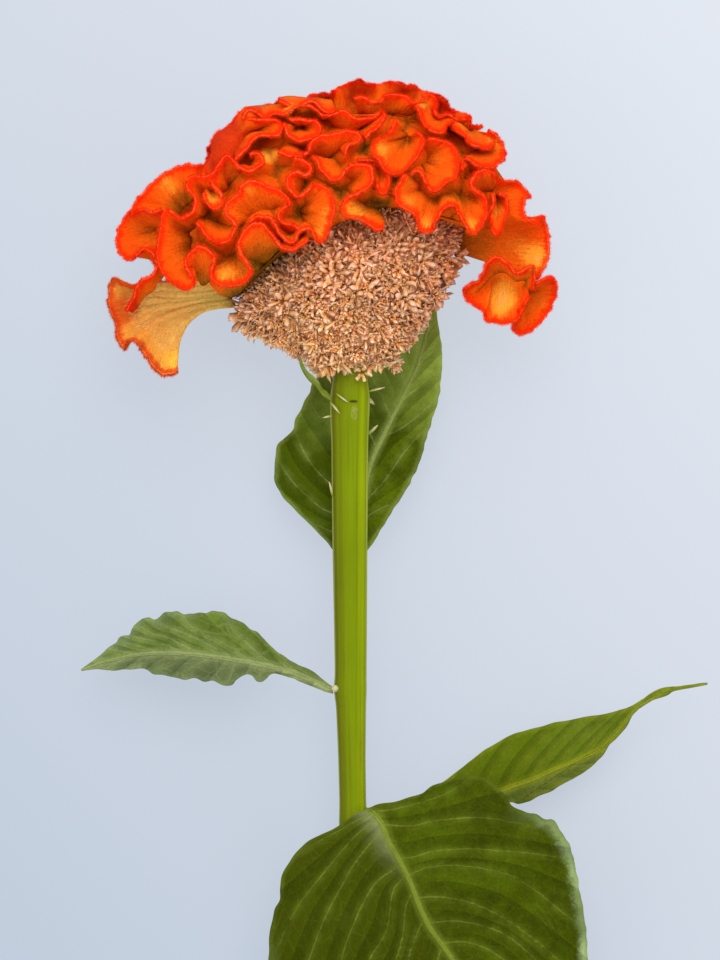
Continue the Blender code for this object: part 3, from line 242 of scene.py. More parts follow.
        (54.6, 22.2, 5), (55.5, 25.6, 6), (55.2, 27.8, 7), (53.9, 28.9, 10), (51.4, 27.8, 13),
        (49.2, 26.8, 12)],
        roots=[(0, 46.4, 21, 6), (0.3, 46.2, 22.5, 3), (0.7, 47.2, 25, 3), (1, 48.2, 26.2, 6)]),
    "fold": dict(lift=0.5, lip=[
        (-19.2, 75.2), (-17.5, 74.8), (-14.6, 74.2), (-12.1, 75), (-10, 74.8), (-8.3, 73.4), (-6.2, 72.4),
        (-4.1, 73)],
        roots=[(0, -20, 77.5), (0.4, -14, 77.5), (1, -4.5, 77)]),
    "corner": dict(dish=0.9, low=0.5, crease=3.0, bulge=5.0, lip=[
        (-38.6, 56, 10), (-39, 58.6, 9), (-38, 61.5, 8.5), (-37, 64.5, 8), (-35.6, 67.4, 8),
        (-33.6, 69.9, 7), (-31.2, 71.1, 7), (-28.8, 72.9, 7), (-26, 74.8, 7)],
        roots=[(0, -32.5, 57, 12.5), (0.4, -28.6, 62.6, 13), (0.7, -26, 67.6, 12), (1, -23, 71, 9.5)]),
    "crown": dict(swing=8.0, wave=13.0, crease=2.4, lip=[
        (-39, 60.5), (-37.8, 63), (-36.6, 66), (-34.8, 69), (-32, 71), (-29, 72.8), (-26, 75), (-23, 76),
        (-20, 75.6), (-17, 77), (-13, 77.8), (-9, 78.3), (-5.4, 78), (-4.4, 79.8), (-2, 81), (1.5, 81.4),
        (5, 81), (8, 81.8), (10.5, 82), (13, 81), (15, 80.2), (16.8, 81.2), (18.2, 80), (21, 79.3),
        (24, 78), (26, 75), (28.5, 73.9), (31.5, 73.2), (32.4, 71.6), (31.5, 70.2), (33.5, 69.5),
        (36, 70)]),
}

# Floret mass under the comb: plan outline, half depth, and the florets that cover it
MASS_OUTLINE = [(-4.5, 1.5), (4.5, 1.5), (8, 5), (12, 9.5), (15, 14), (18.5, 20), (24.3, 29), (28, 37),
                (27.8, 42.4), (19.6, 47.9), (5, 49.2), (-7.6, 44.9), (-16.4, 38), (-25, 29), (-27, 22),
                (-25, 17), (-21, 13.5), (-12.5, 10), (-7.5, 5.5)]
MASS_DEPTH = 14.6
MASS_CENTRE = (0.0, 27.0)
FLORET_LINE = (42.5, 0.28)      # no florets above this line, inside the comb: y at x = 0, and slope

# Stem: (y, half width, half depth, x of its axis)
STEM_SECTIONS = [(1.2, 4.6, 3.8, -0.2), (-1.5, 5.3, 4.4, -0.2), (-6, 5.4, 4.5, -0.3), (-14, 5.0, 4.1, -0.3),
                 (-45, 4.7, 3.9, -0.3), (-79.5, 4.25, 3.6, -0.1), (-82.4, 4.6, 3.8, -0.3),
                 (-85.3, 4.1, 3.5, 0.0), (-100, 3.7, 3.4, 0.3), (-113, 3.6, 3.3, 0.6),
                 (-119, 3.9, 3.6, 0.7), (-126, 3.6, 3.3, 0.8), (-165, 3.6, 3.3, 1.0),
                 (-205, 3.6, 3.3, 1.2)]
STEM_RIBS = 5
STEM_RIB_DEPTH = 0.06
# Papery bracts at the neck: foot, tip, half width
BRACTS = [((-5.6, -4.6, 3.0), (-3.0, -7.8, 4.7), 0.45), ((-4.9, -8.3, 2.2), (-7.7, -8.9, 3.6), 0.42),
          ((-4.0, -2.3, 3.4), (-0.8, -4.8, 5.2), 0.42), ((4.9, -1.7, 2.2), (9.2, -0.7, 4.4), 0.42),
          ((4.7, -13.3, 1.2), (7.3, -10.8, 3.0), 0.55), ((4.6, 3.2, 3.0), (14.2, 7.0, 6.5), 0.75),
          ((-4.9, -30.0, 1.0), (-5.9, -26.0, 2.2), 0.5), ((2.8, -2.2, -2.6), (6.4, -5.2, -4.8), 1.0),
          ((-2.8, -2.6, -2.6), (-5.6, -6.8, -4.6), 1.0)]

# Leaves: left margin, midrib and right margin, each from base to tip (x, y, z), and the side veins of
# either half as (x, y), in the order in which they leave the midrib
LEAVES = {
    "leaf_front": dict(ripple=1.6, waves=7, left=[
        (3.6, -114.9, 3.5), (1.2, -115.7, 5.0), (-3.5, -118.8, 7.2), (-8, -121, 7.8), (-12.2, -123.4, 8.2),
        (-16, -127.4, 9), (-18.5, -131.8, 10), (-19, -135.3, 10.5), (-19.1, -138.5, 10.5),
        (-20.4, -141.2, 10.5), (-21.5, -145.6, 10.8), (-21.9, -150, 11), (-21.9, -155.3, 11.5),
        (-19, -165, 11), (-12, -175, 10.5), (-2, -184, 9), (12, -191, 7), (28, -196, 4), (51, -199, 0.5)],
        mid=[(4.2, -114.9, 2.7), (5.9, -115.6, 5.6), (8.3, -117.9, 8), (10.4, -122.8, 10.6),
            (13.2, -127.7, 13), (16, -133.2, 15), (18.8, -140.4, 16.4), (21.5, -145.8, 17),
            (25, -150.6, 17), (28.3, -155.6, 17), (34, -167, 14.5), (41, -180, 9.5), (47, -191, 4),
            (51.3, -199.6, 0)],
        right=[(4.8, -114.6, 2.1), (7.6, -113, 4.6), (11.8, -112.4, 6.4), (16, -111, 7.4),
            (19.4, -109.9, 8), (22.2, -107.6, 8.8), (25.7, -106.5, 9.6), (28.5, -105.4, 10),
            (32.7, -105, 11), (36.2, -105.7, 12), (39.6, -108.2, 12.4), (41.7, -110.6, 12.6),
            (43.3, -113, 13), (46.2, -114.4, 13), (50.1, -115.5, 13), (52.4, -116.7, 12.6),
            (54.1, -116.6, 12.2), (55.8, -119, 11.5), (57.9, -122.3, 11.2), (59.3, -125.8, 11),
            (60.4, -130.6, 11), (61.4, -136, 11), (62.3, -141.5, 10.7), (63.1, -147.5, 10.2),
            (63.5, -155.3, 9.5), (62, -168, 7), (58, -182, 4), (51.6, -199, 0.5)],
        veins_left=[ [(5.4, -115.6), (2, -117.2), (-4, -120.4), (-10, -123.6)], [(6.3, -117.2), (1.5, -121),
            (-3, -126), (-8, -132), (-14, -140), (-19, -150), (-23, -160)], [(7.6, -120.7), (4.8, -123.5),
            (2.1, -127), (0, -129.7), (-2.1, -133.9), (-5.5, -140), (-9, -148), (-12, -157), (-14, -168)],
            [(11.1, -130.4), (8.3, -132.2), (5.9, -134.6), (3.4, -138.8), (1.4, -143), (-1.1, -149.2),
            (-2.1, -152.7), (-3.5, -160), (-5, -176)], [(13, -133.2), (11.4, -135.3), (10.8, -138.8),
            (10.4, -143), (9.7, -146.4), (7.6, -149.9), (4.8, -154.4), (3, -162), (2, -182)],
            [(15.8, -137.2), (14.5, -140), (14.2, -145), (13.3, -151), (11, -158), (9, -168), (8, -188)],
            [(18.8, -144.1), (17.4, -147.1), (16, -150.5), (15, -154), (14.6, -160), (14.6, -172),
            (15, -192)], [(24, -151), (22.4, -157), (21.6, -168), (23, -193)], [(31, -163), (29.6, -171),
            (30, -195)], [(38, -175), (37.4, -183), (39, -198)]],
        veins_right=[ [(6, -115), (12, -114.2), (19, -112.2), (26, -109.6), (33, -105)], [(9.3, -118.3),
            (16, -118.5), (21.5, -117.2), (27.1, -116.5), (32.7, -116), (38.2, -116.4), (43.8, -117.6),
            (50.8, -119.4), (58, -121)], [(13.2, -127.2), (17.4, -126.6), (21.5, -125.2), (27.1, -124.7),
            (32.7, -124.4), (38.2, -124.9), (43.8, -125.2), (50.8, -125.9), (61, -127.5)], [(15.4, -131.8),
            (18.1, -130.1), (21.5, -129.1), (27.1, -128.6), (32.7, -129.1), (38.2, -130.1), (43.8, -131.8),
            (50.8, -136.7), (54.9, -140.2), (64, -147)], [(17.6, -137.4), (22.2, -137.1), (27.1, -137.6),
            (32, -138.8), (36.8, -140.9), (41.7, -143.7), (46.6, -147.1), (50.8, -150.3), (54.9, -154.1),
            (64, -163)], [(20.5, -144.2), (25.7, -143.5), (30.6, -143.8), (36.2, -145.1), (41.7, -147.5),
            (46.6, -151.3), (52, -157), (62, -170)], [(24.4, -149.4), (29.9, -149), (34.8, -150.3),
            (39.6, -153.1), (45, -158), (58, -176)], [(28.8, -156.6), (34, -156.5), (40, -160), (46, -167),
            (56, -184)], [(33, -165), (38, -165.5), (43, -170), (53, -190)], [(38, -175), (42, -176),
            (47, -184), (52, -197)]]),
    "leaf_right": dict(ripple=0.7, waves=6, pucker=0.35, teeth=0.04, left=[
        (4.9, -121.6, -0.5), (12, -117, -1.5), (20, -110.6, -3), (28, -105.2, -4), (35.1, -99.5, -4.5),
        (40, -96.5, -4.5), (45, -94.1, -4.5), (50.2, -92.7, -4), (55.1, -91.3, -4), (60, -90.5, -3.5),
        (64.4, -89.5, -3), (68.7, -89, -2.5), (72.4, -87.9, -2), (75.5, -86.9, -1.5), (77.9, -85.7, -1),
        (80.1, -83.9, 0), (82.8, -82.4, 0.5), (85.3, -81.6, 1), (88.4, -81.3, 1.5), (91, -80.9, 1.8),
        (96, -80.3, 2)],
        mid=[(4.9, -122.8, -0.5), (15, -119.5, -2), (28, -114.5, -3), (42.2, -109.1, -3.6),
            (49.6, -106.5, -3.8), (54.5, -104.2, -3.9), (60, -102, -3.9), (65, -99.6, -3.7),
            (69.3, -97.1, -3.4), (72.4, -93.7, -3), (74.2, -90.9, -3), (76.4, -88, -2), (79, -85.3, -1),
            (83, -83.2, 0), (87, -82, 1), (96.2, -80.6, 2)],
        right=[(4.9, -124, -0.5), (14, -124, -1.5), (28, -119, -2), (36, -115, -2), (42.7, -112.9, -2.5),
            (45.3, -113.2, -2.5), (48.3, -112.5, -2.5), (50.8, -111.1, -3), (53.6, -110, -3),
            (58.2, -107.4, -3.5), (62.5, -105, -3.5), (65.2, -103, -3.5), (67.8, -100.5, -3.5),
            (69.6, -97.7, -3.5), (71.4, -95.6, -3), (74.3, -92.4, -2.8), (75.9, -89.3, -2),
            (77.4, -87.9, -2), (79.9, -86, -1), (82.3, -84.8, -0.5), (85.4, -83.6, 0), (86.8, -82.5, 0.5),
            (89.8, -81.8, 1), (96, -80.9, 2)],
        veins_left=[ [(15, -119.5), (20, -114), (25, -106)], [(28, -114.5), (30, -108), (37, -98)],
            [(36, -111.8), (38, -105), (42, -99), (49, -91.5)], [(42.2, -109.1), (45, -104), (50, -98),
            (58, -89.5)], [(48.5, -107), (52, -101.5), (58, -95), (66, -88)], [(54.5, -104.2), (59, -99),
            (64, -94), (73, -86.5)], [(61, -101.5), (65, -97), (69, -92.5), (76, -85.5)], [(66.5, -98.8),
            (70, -94), (75, -88)]],
        veins_right=[ [(28, -114.5), (36, -114.2), (45, -115)], [(36, -111.8), (44, -111), (54, -111.4)],
            [(44, -108.4), (51, -107.5), (60, -108.5)], [(52, -105.3), (58, -104), (66, -104.4)],
            [(59, -102.3), (64, -100.6), (71, -98.7)], [(65.5, -99.3), (69, -97), (74, -94)]]),
    "leaf_left": dict(ripple=0.9, waves=9, pucker=0.6, teeth=0.16, left=[
        (-4.9, -83.4, 0), (-7.5, -82.5, 0.3), (-11.5, -80.9, 0.8), (-15.5, -79.2, 1.2), (-20, -77.7, 2),
        (-21.7, -78, 2.3), (-23.4, -79.8, 3), (-25.1, -79.8, 3), (-26.8, -78.4, 2.5), (-29.1, -78.4, 2.5),
        (-31, -79.4, 2.5), (-32.3, -81, 2.5), (-34.8, -80.9, 2.2), (-37.1, -79.7, 2), (-39.9, -79.7, 1.6),
        (-42.2, -79.2, 1.3), (-44.5, -79.5, 1), (-47.3, -78.7, 0.8), (-50.1, -78.5, 0.5), (-53, -77.9, 0),
        (-55.4, -76.7, 0), (-60.4, -76.7, -0.8), (-63.8, -77.1, -1.2), (-68.3, -76.8, -2),
        (-72.8, -77.3, -3)],
        mid=[(-4.9, -82.4, 0), (-9, -80.5, 0.5), (-14.3, -77.9, 1.5), (-19.5, -76.5, 2.3),
            (-22.9, -75.6, 2.8), (-28.5, -74.6, 3.4), (-34.2, -73.6, 3.6), (-39.9, -72.9, 3.6),
            (-45.6, -72.4, 3), (-51.3, -72.3, 2), (-57, -72.7, 1), (-62.6, -73.8, -0.6),
            (-68.3, -75.2, -2.2), (-73, -77, -3)],
        right=[(-4.9, -81.4, 0), (-7, -80.1, 0), (-9.8, -77.9, 0), (-12.6, -76.2, 0), (-16, -74.9, 0),
            (-19.5, -72.4, -0.3), (-22.9, -69.5, -0.8), (-25.7, -66.8, -1.2), (-29.7, -64.2, -1.6),
            (-32.5, -63, -2), (-34.8, -61.4, -2), (-37.1, -61.2, -2), (-39.9, -61.8, -2),
            (-43.3, -61.7, -2), (-45, -62.1, -2), (-47.3, -61.3, -2), (-50.1, -61.6, -2), (-53, -63.4, -2),
            (-54.7, -62.9, -2), (-57.5, -64, -2), (-58.9, -65.4, -2), (-59.8, -67.7, -2),
            (-62.4, -68.1, -2), (-63.3, -69.6, -2.2), (-65.5, -70.9, -2.4), (-67.8, -73.3, -2.6),
            (-70.6, -75.2, -2.8), (-72.8, -76.8, -3)],
        veins_left=[ [(-22.9, -75.6), (-24.4, -78), (-25.5, -81)], [(-30.8, -74.4), (-32, -77),
            (-33.4, -82)], [(-37.6, -73.3), (-40.5, -75), (-43.3, -76.5), (-46, -81)], [(-45, -72.4),
            (-48, -74.5), (-52, -76.5), (-55, -80)], [(-52.5, -72.4), (-55.6, -74.6), (-60, -79)],
            [(-60, -73.3), (-64, -75.5), (-68, -78)]],
        veins_right=[ [(-14, -77.9), (-17, -75.4), (-20, -71)], [(-20, -76.3), (-25.1, -72.5),
            (-28.5, -69.4), (-32, -66.2), (-35, -60)], [(-25.1, -75.3), (-29.7, -72.8), (-34.2, -69.9),
            (-39.9, -67.2), (-43.9, -64.6), (-47, -60)], [(-30.8, -74.3), (-36.5, -71.1), (-41, -68.8),
            (-46.7, -66.4), (-51.3, -65), (-55.5, -61)], [(-37.6, -73.2), (-42.2, -71.6), (-45.6, -70.2),
            (-49.6, -68.2), (-54.1, -67), (-59, -64)], [(-44.5, -72.5), (-48.4, -70.9), (-53, -69.2),
            (-57, -68.4), (-61.5, -67)], [(-51.3, -72.3), (-55.3, -71), (-59.2, -70.2), (-64, -68.6)],
            [(-58.1, -72.9), (-61.5, -72), (-67, -71)]]),
    "leaf_behind": dict(ripple=1.2, waves=6, left=[
        (-2.2, -46.6, -5.0), (-4.9, -44.5, -6), (-7, -41.9, -7), (-11.1, -37.8, -8), (-15.7, -33.2, -9),
        (-19.2, -29.2, -9.5), (-20.8, -25.1, -10), (-20.3, -17.3, -11.5), (-18.4, -14.6, -12),
        (-15.7, -11.9, -12.5), (-14.9, -8.6, -13), (-11.6, -2.4, -15), (-10.3, 0.8, -16), (-4, 8, -18.4),
        (6, 15, -20), (15, 20, -20), (22.4, 23.4, -19)],
        mid=[(-0.6, -47.2, -4.9), (0.8, -40, -7), (3, -32, -9), (5.7, -20.3, -12), (13.8, -3.8, -16),
            (17.6, 4.3, -17.6), (20.3, 13.2, -18.6), (22.7, 23.8, -19)],
        right=[(1.6, -46.8, -5.0), (4.3, -45, -6), (7.3, -40.5, -7), (10.5, -35.1, -8), (14.6, -28.9, -9),
            (18.9, -20.2, -10.5), (20.2, -14.9, -11.5), (23.2, -5.7, -13), (24.2, -0.3, -14),
            (24.8, 6.5, -15.5), (24.2, 14, -17), (23.4, 19.4, -18), (23.1, 23.4, -19)],
        veins_left=[ [(-0.2, -44), (-4, -40.5), (-9, -38)], [(0.9, -38), (-3, -35.5), (-8, -33.4),
            (-11.9, -30.1), (-15.8, -26.2), (-19.2, -21.1), (-22, -16)], [(2.6, -33), (-2, -29),
            (-6.3, -26.2), (-10.2, -22.2), (-13, -17.8), (-14.7, -13.8), (-17, -8)], [(4.5, -25), (0, -18),
            (-4, -13), (-6.9, -9.9), (-9.7, -7.1), (-11.4, -3.2), (-13, 2)], [(7, -17), (3, -9), (-2, -2),
            (-7, 6)], [(11, -9), (7, 0), (2, 8), (-1, 13)], [(15, 0), (12, 8), (9, 17)], [(18.5, 7),
            (17, 14), (16, 22)]],
        veins_right=[ [(0.8, -40), (4, -36), (8, -33.5), (13, -31.5)], [(3, -32.5), (9.4, -25.6),
            (12.7, -20.6), (16.1, -16.1), (19.4, -12.7), (24, -8)], [(7, -16.5), (9.4, -13.8),
            (13.8, -11.6), (18.3, -8.2), (21.7, -4.9), (25.5, -1)], [(11.8, -7.5), (13.8, -4.3),
            (18.3, -0.4), (22.8, 3.5), (26, 7)], [(16, 2), (20, 7.4), (23.9, 10.8), (26, 13)], [(19.5, 10),
            (21.5, 14), (24.5, 18)]]),
    "neck_leaflet": dict(ripple=0.0, waves=1, left=[
        (-5.5, -4.4, 3.2), (-8.1, -2.3, 4.6), (-11, 1, 5.8), (-13.3, 4.2, 6.4), (-14, 7.4, 6.6)],
        mid=[(-5.3, -3.9, 3.2), (-7.6, -1.8, 5), (-10.4, 1.4, 6.2), (-12.8, 4.4, 6.8), (-13.7, 7.2, 6.8)],
        right=[(-5.1, -3.4, 3.4), (-7.1, -1.3, 5.4), (-9.8, 1.9, 6.6), (-12.4, 4.7, 7), (-13.6, 7.4, 6.8)]),
}

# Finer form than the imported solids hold
FRILL_THICKNESS = 1.0
LIP_THICKNESS = 0.9
LIP_TOP = 0.62                  # thickness of the lip's very edge
LIP_STEP = 1.1                  # column spacing along a front lip, halved by the subdivision
REAR_STEP = 2.0
FRILL_ROWS = 7
REAR_ROWS = 5
CRIMP_REACH = 2.2               # how far the small waves of a lip run down its faces
CRIMP_SIDE = 0.22
CRIMP_RISE = 0.16
FACE_SWELL = 0.30
RUN_SCALE = 0.01                # map units a mm
CORE_SEGMENTS = 240
CORE_RINGS = 120
# How far the flesh lies under the dome: close to a lip, far from every lip, and the way between
FLESH_NEAR = 4.2
FLESH_FAR = 13.0
FLESH_REACH = 4.0
FLESH_STEP = 0.8                # spacing of the points that stand for a lip
FLESH_RISES = [(-22.5, 60, 5.0, 2.5), (-31, 55, 2.4, 3.0)]      # x, y, radius, height
FLESH_RUN_DEPTH = 3.2           # the flesh is coloured as the face is that far below a lip
# Places in the comb painted yellow, a painted highlight and painted light coming through the frill, or a
# deep red where the last number is below 0, partly the comb's own red and partly painted shade in its gaps:
# x, y, radius, strength
HIGHLIGHT_AND_RED_SPOTS = [
    (-48, 6, 4.5, 0.9), (41, 24, 4.0, 1.4), (40, 20.5, 2.8, 0.7), (52, 22, 3.0, 0.5), (48, 37, 5.0, 0.4),
    (43, 38, 4.0, 0.35), (50.5, 33.5, 3.6, 1.3), (44, 50, 3.0, 0.4), (-53, 24, 5.0, 0.3),
    (-49, 54, 4.0, 0.9), (-37, 50, 2.6, 1.1), (-33, 29, 3.4, 0.8), (-27, 52, 3.0, 0.6), (-33, 46, 3.0, 0.6),
    (-6, 45, 4.0, 0.55), (-21, 61, 2.2, 0.9), (-15, 73, 2.4, 0.9), (-6, 76, 2.4, 0.8), (1, 45.5, 3.4, 1.0),
    (8, 62, 3.0, 0.8), (15, 48, 4.2, 0.6), (20, 42, 2.6, 0.8), (32, 42, 3.2, 0.9), (39, 46, 2.6, 0.7),
    (19, 76, 2.6, 1.2), (6, 74.5, 2.6, 1.1), (30, 70, 2.2, 0.8), (39, 65, 3.0, 0.9), (-8, 40, 2.4, 0.6),
    (24, 60, 4.0, 0.4), (38, 53, 3.0, 0.4), (-40, 29, 3.0, 0.3), (-31, 55.5, 2.4, 0.8), (-23, 61, 3.0, 0.9),
    (-15.5, 72.5, 2.6, 0.6), (9, 79.5, 4.0, -0.5), (15, 79, 3.0, -0.4), (-14, 76.5, 3.0, -0.4),
    (23, 77.5, 3.0, -0.4), (-62, 19, 4.0, -1.0), (-61, 24, 3.0, -0.5), (-59.5, 20.5, 2.2, -1.0),
    (-20, 40, 2.0, -0.35), (-13, 62, 2.0, -0.9), (-15, 68, 2.2, -0.6), (-30, 67, 3.0, -0.3),
    (-5, 77, 4.0, -0.7), (3, 79.5, 3.0, -0.4), (26, 76, 2.6, -0.5), (36, 30.5, 3.0, -0.5),
    (-58, 37, 3.0, -0.4), (-46, 42, 2.4, -0.4), (-33, 64, 5.0, -0.9), (-35, 67, 4.0, -0.6),
    (-26, 73.5, 3.5, -0.5), (-2, 78.5, 3.6, -0.7), (-9, 76.5, 3.0, -0.4), (-46, 57, 4.0, -0.4),
    (-36, 58, 3.0, -0.6), (-25.5, 59.5, 2.4, -0.5), (-61, 20, 3.0, -0.5), (-10, 69, 2.6, -0.4),
    (-8, 63, 2.8, -0.5)]
# Places painted a darker olive, painted shade in recesses and the flesh's own olive-brown by the florets:
# x, y, radius, share of the rise that is lost
SHADE_SPOTS = [
    (-30.5, 66, 1.8, 0.5), (-31, 24, 5.0, 0.85), (-26, 27.5, 4.0, 0.9), (-20.5, 32.5, 4.5, 0.9),
    (-14.5, 37, 3.5, 0.8), (-8, 40.5, 3.0, 0.5), (2, 44.5, 2.5, 0.6), (-45, 49, 3.0, 0.5),
    (-55, 42, 3.0, 0.4), (-39, 46, 2.8, 0.6), (-24, 32, 4.4, 0.75), (-20, 35, 3.0, 0.4),
    (-14, 46, 2.6, 0.6), (-12, 53, 2.4, 0.6), (-3, 51, 3.2, 0.8), (-6.5, 55, 2.4, 0.4), (4, 63, 2.6, 0.8),
    (8, 47, 3.2, 1.0), (12, 54, 2.4, 0.7), (24, 50, 2.8, 0.6), (31, 36, 4.0, 0.6), (16, 55.5, 2.0, 0.6),
    (0.5, 77, 1.8, 0.8), (27, 55, 1.8, 0.5), (-15.5, 67.5, 2.4, 0.5), (-13, 62, 1.8, 0.5),
    (28, 50, 2.4, 0.5), (-20, 47, 3.0, 0.3), (30, 62, 2.2, 0.4), (-38, 33, 2.4, 0.3), (-31, 42, 2.4, 0.5)]
# Frills that share a piece
FRILL_PIECES = {
    "comb_frills_left": ("collar", "left_mid", "lappet", "curl_left", "left_bowl", "left_low"),
    "comb_frills_middle": ("cup_left", "cup_right", "mid_lobe", "tongue", "spur", "sail", "brow", "fold"),
    "comb_frills_right": ("shell", "right_low", "crest_right", "knob", "small_tongue", "shoulder",
                          "trumpet", "trumpet_rim", "wing"),
    "comb_frills_top": ("top_back", "crown", "corner"),
    "comb_frills_rear": ("left_bowl_rear", "shoulder_rear"),
}
REAR_SEED = 500                 # the rear frills have waves of their own
# Down: how far the hairs of a lip and of a face scatter, as shares of the way to the root, how far those
# of a lip fan out in radians, how crooked all of them stand, their lengths, and the share a face hair has
LIP_SCATTER = 0.03
FACE_SCATTER = 0.35
HAIR_FAN = 1.2
HAIR_STRAY = 0.28
HAIR_LENGTHS = (0.4, 1.15)
FACE_HAIR = 0.7
HAIR_BELOW_LIP = 0.8            # a hair has the colour of the face that far below its foot
HORN_DOWN_COUNT = 12000         # short hairs on the spread flap
TABLE_CLEARANCE = 0.00004       # m, the lowest that a piece reaches
PETALS = 5
PETAL_CORNERS = 10
SAC_CORNERS = 6
# Cross sections of a petal: shares of its length, of its opening and of its width, and thickness in mm
PETAL_SECTIONS = ((0.40, 0.30, 0.75, 0.10), (0.82, 0.76, 1.0, 0.06))
FLORET_SEED = 11
PETAL_SEED = 12
FLORET_TRIES = 60000            # rays that look for a free place on the bed
FLORET_LENGTHS = (0.65, 1.20)   # shares of the set length
REAR_LEVEL = -4                 # florets that lie lower than this stand wider apart
REAR_SPACING = 1.6
RAGGED_CORNER = (-16, 25)       # left of and below this the outline has the longest florets
NECK_TOP = 16                   # below this those that face down are shorter
BED_MESH = (64, 32)             # segments and rings
BED_INSET = 0.6                 # how much flatter the bed is than the mass
FLORET_LUMP = 1.2               # how far the heads of florets stand out of the mass and sink into it, mm
BED_FLOOR = 4.4                 # the bed of the florets ends here, above the neck
FLORET_FLOOR = BED_FLOOR + 2.4
# Larger florets at the neck: foot, outward direction, length
NECK_FLORETS = [((3.0, 3.4, 4.4), (0.1, -0.35, 0.95), 2.6), ((-6.4, 6.2, 3.6), (-0.5, -0.8, 0.45), 4.4),
                ((-3.4, 6.6, 5.6), (-0.2, -0.6, 0.8), 3.6), ((7.0, 7.4, 4.6), (0.4, -0.6, 0.7), 3.8),
                ((9.6, 9.2, 4.0), (0.7, -0.6, 0.4), 4.2), ((-10.6, 9.8, 2.6), (-0.45, -0.9, 0.3), 5.0),
                ((-8.0, 7.4, 1.2), (-0.6, -0.8, 0.1), 4.8), ((-1.0, 6.4, 5.8), (0.0, -0.6, 0.8), 2.8),
                ((5.2, 6.0, 5.2), (0.2, -0.6, 0.8), 2.8), ((-5.6, 5.4, 5.0), (-0.5, -0.5, 0.8), 3.2)]
LEAF_PUCKER = 0.8
LEAF_TEETH = 0.11
LEAF_MESH = (170, 28)           # stations along a blade, and columns on either side of its midrib
LEAFLET_MESH = (24, 5)
MIDRIB_HEIGHT = 0.5             # at the foot of a blade; two of them have their own
MIDRIB_HEIGHTS = {"leaf_front": 1.5, "neck_leaflet": 0.3}
VEIN_GAP = 9.0                  # distance between veins where a blade has no next one
VEIN_REACH = (30, 60)           # how far a side vein is drawn out past its start and its end
STEM_MESH = (190, 72)           # rows and sides
STEM_INTO_HEAD = 7.0            # how far the stem runs up into the florets
STEM_SOFTENING = 9              # rows over which the stem's sections blend
KNOT_MESH = (24, 14)
BRACT_MESH = (10, 4)            # steps along a bract and across either half
BRACT_THICKNESS = 0.2
# Raised places on the stem: centre, half sizes, colour as that share of the way up a bract, 2 where dark
STEM_KNOTS = [((-4.2, -81.9, 1.4), (1.1, 1.0, 1.5), 0.6, 0), ((0.9, -7.4, 3.95), (1.1, 2.4, 0.5), 0.06, 0),
              ((0.7, -4.45, 4.35), (1.1, 0.32, 0.3), 0.2, 2)]
# What the photograph frames, in mm of the plant's plane
FRAME_CENTRE = (2.43, -25.65)
FRAME_HEIGHT = 259.2
SENSOR = 36                     # mm
FLOOR_SIZE = 6                  # m
# Lights: place from the middle of the picture along the plant's X, Y and Z, and size, in m, and colour
LAMPS = {
    "key": ((0.15, 1.0, 1.35), 1.7, (1.0, 0.99, 0.97)),
    "fill": ((-0.9, -0.2, 0.7), 0.9, (0.93, 0.96, 1.0)),
    "low": ((0.5, -1.1, 0.8), 0.9, (0.97, 0.98, 1.0)),
}
LOW_POWER = 0.8                 # of the fill light's
ROOM_LIGHT = ((0.86, 0.92, 1.0, 1), 0.70)      # colour and strength
# Colours of the velvet at the root of a face and just above it, darker for the flesh: partly their own
# olive, partly painted shade deep between the frills
FLESH_TONES = ((0.12, 0.050, 0.003), (0.36, 0.110, 0.007))
VELVET_TONES = ((0.24, 0.075, 0.003), (0.52, 0.105, 0.005))
HORN_TONES = ((0.52, 0.34, 0.060), (0.78, 0.50, 0.11))

# Curves and frames of reference

def catmull(points, per=10):
    """A smooth dense curve through the points."""
    p = np.asarray(points, float)
    if len(p) < 3:
        return p
    ext = np.vstack([2 * p[0] - p[1], p, 2 * p[-1] - p[-2]])
    t = np.linspace(0, 1, per, endpoint=False)[:, None]
    out = []
    for k in range(len(p) - 1):
        a, b, c, d = ext[k:k + 4]
        out.append(0.5 * (2 * b + (c - a) * t + (2 * a - 5 * b + 4 * c - d) * t ** 2
                          + (3 * b - a - 3 * c + d) * t ** 3))
    return np.vstack(out + [p[-1:]])


def lengths(p):
    return np.concatenate([[0], np.cumsum(np.linalg.norm(np.diff(p, axis=0), axis=1))])


def evenly(points, count):
    """The smooth curve through the points as count + 1 points at even distances."""
    dense = catmull(points)
    s = lengths(dense)
    u = np.linspace(0, s[-1], count + 1)
    return np.column_stack([np.interp(u, s, dense[:, k]) for k in range(dense.shape[1])])


def averaged(p, step, width):
    """The curve with its waves smoothed out, its ends held."""
    reach = max(1, int(round(3 * width / step)))
    weights = np.exp(-0.5 * (np.arange(-reach, reach + 1) * step / width) ** 2)
    weights /= weights.sum()
    ext = np.vstack([np.repeat(p[:1], reach, 0), p, np.repeat(p[-1:], reach, 0)])
    return np.column_stack([np.convolve(ext[:, k], weights, "valid") for k in range(3)])


def unit(v):
    return v / np.maximum(np.linalg.norm(v, axis=-1, keepdims=True), 1e-9)


def laid(points):
    """Points of the plant's own frame, in mm, as they lie on the table, in metres."""
    p = np.asarray(points, float)
    c, s = math.cos(TABLE_TILT), math.sin(TABLE_TILT)
    y, z = p[..., 1], p[..., 2]
    return MM * (np.stack([p[..., 0], c * y - s * z, s * y + c * z], axis=-1) + PLANT_SHIFT)


def laid_direction(v):
    return Vector(laid(v) - laid((0, 0, 0))).normalized()


def wobble(x, seed, size=1.0):
    """A smooth irregular wave of about unit height, the same in every run."""
    rng = random.Random(seed)
    total = np.zeros_like(np.asarray(x, float))
    for _ in range(5):
        total += math.sqrt(0.4) * np.sin(x / size * rng.uniform(0.6, 1.9) + rng.uniform(0, 6.28))
    return total


# Comb: grids of points from root to lip

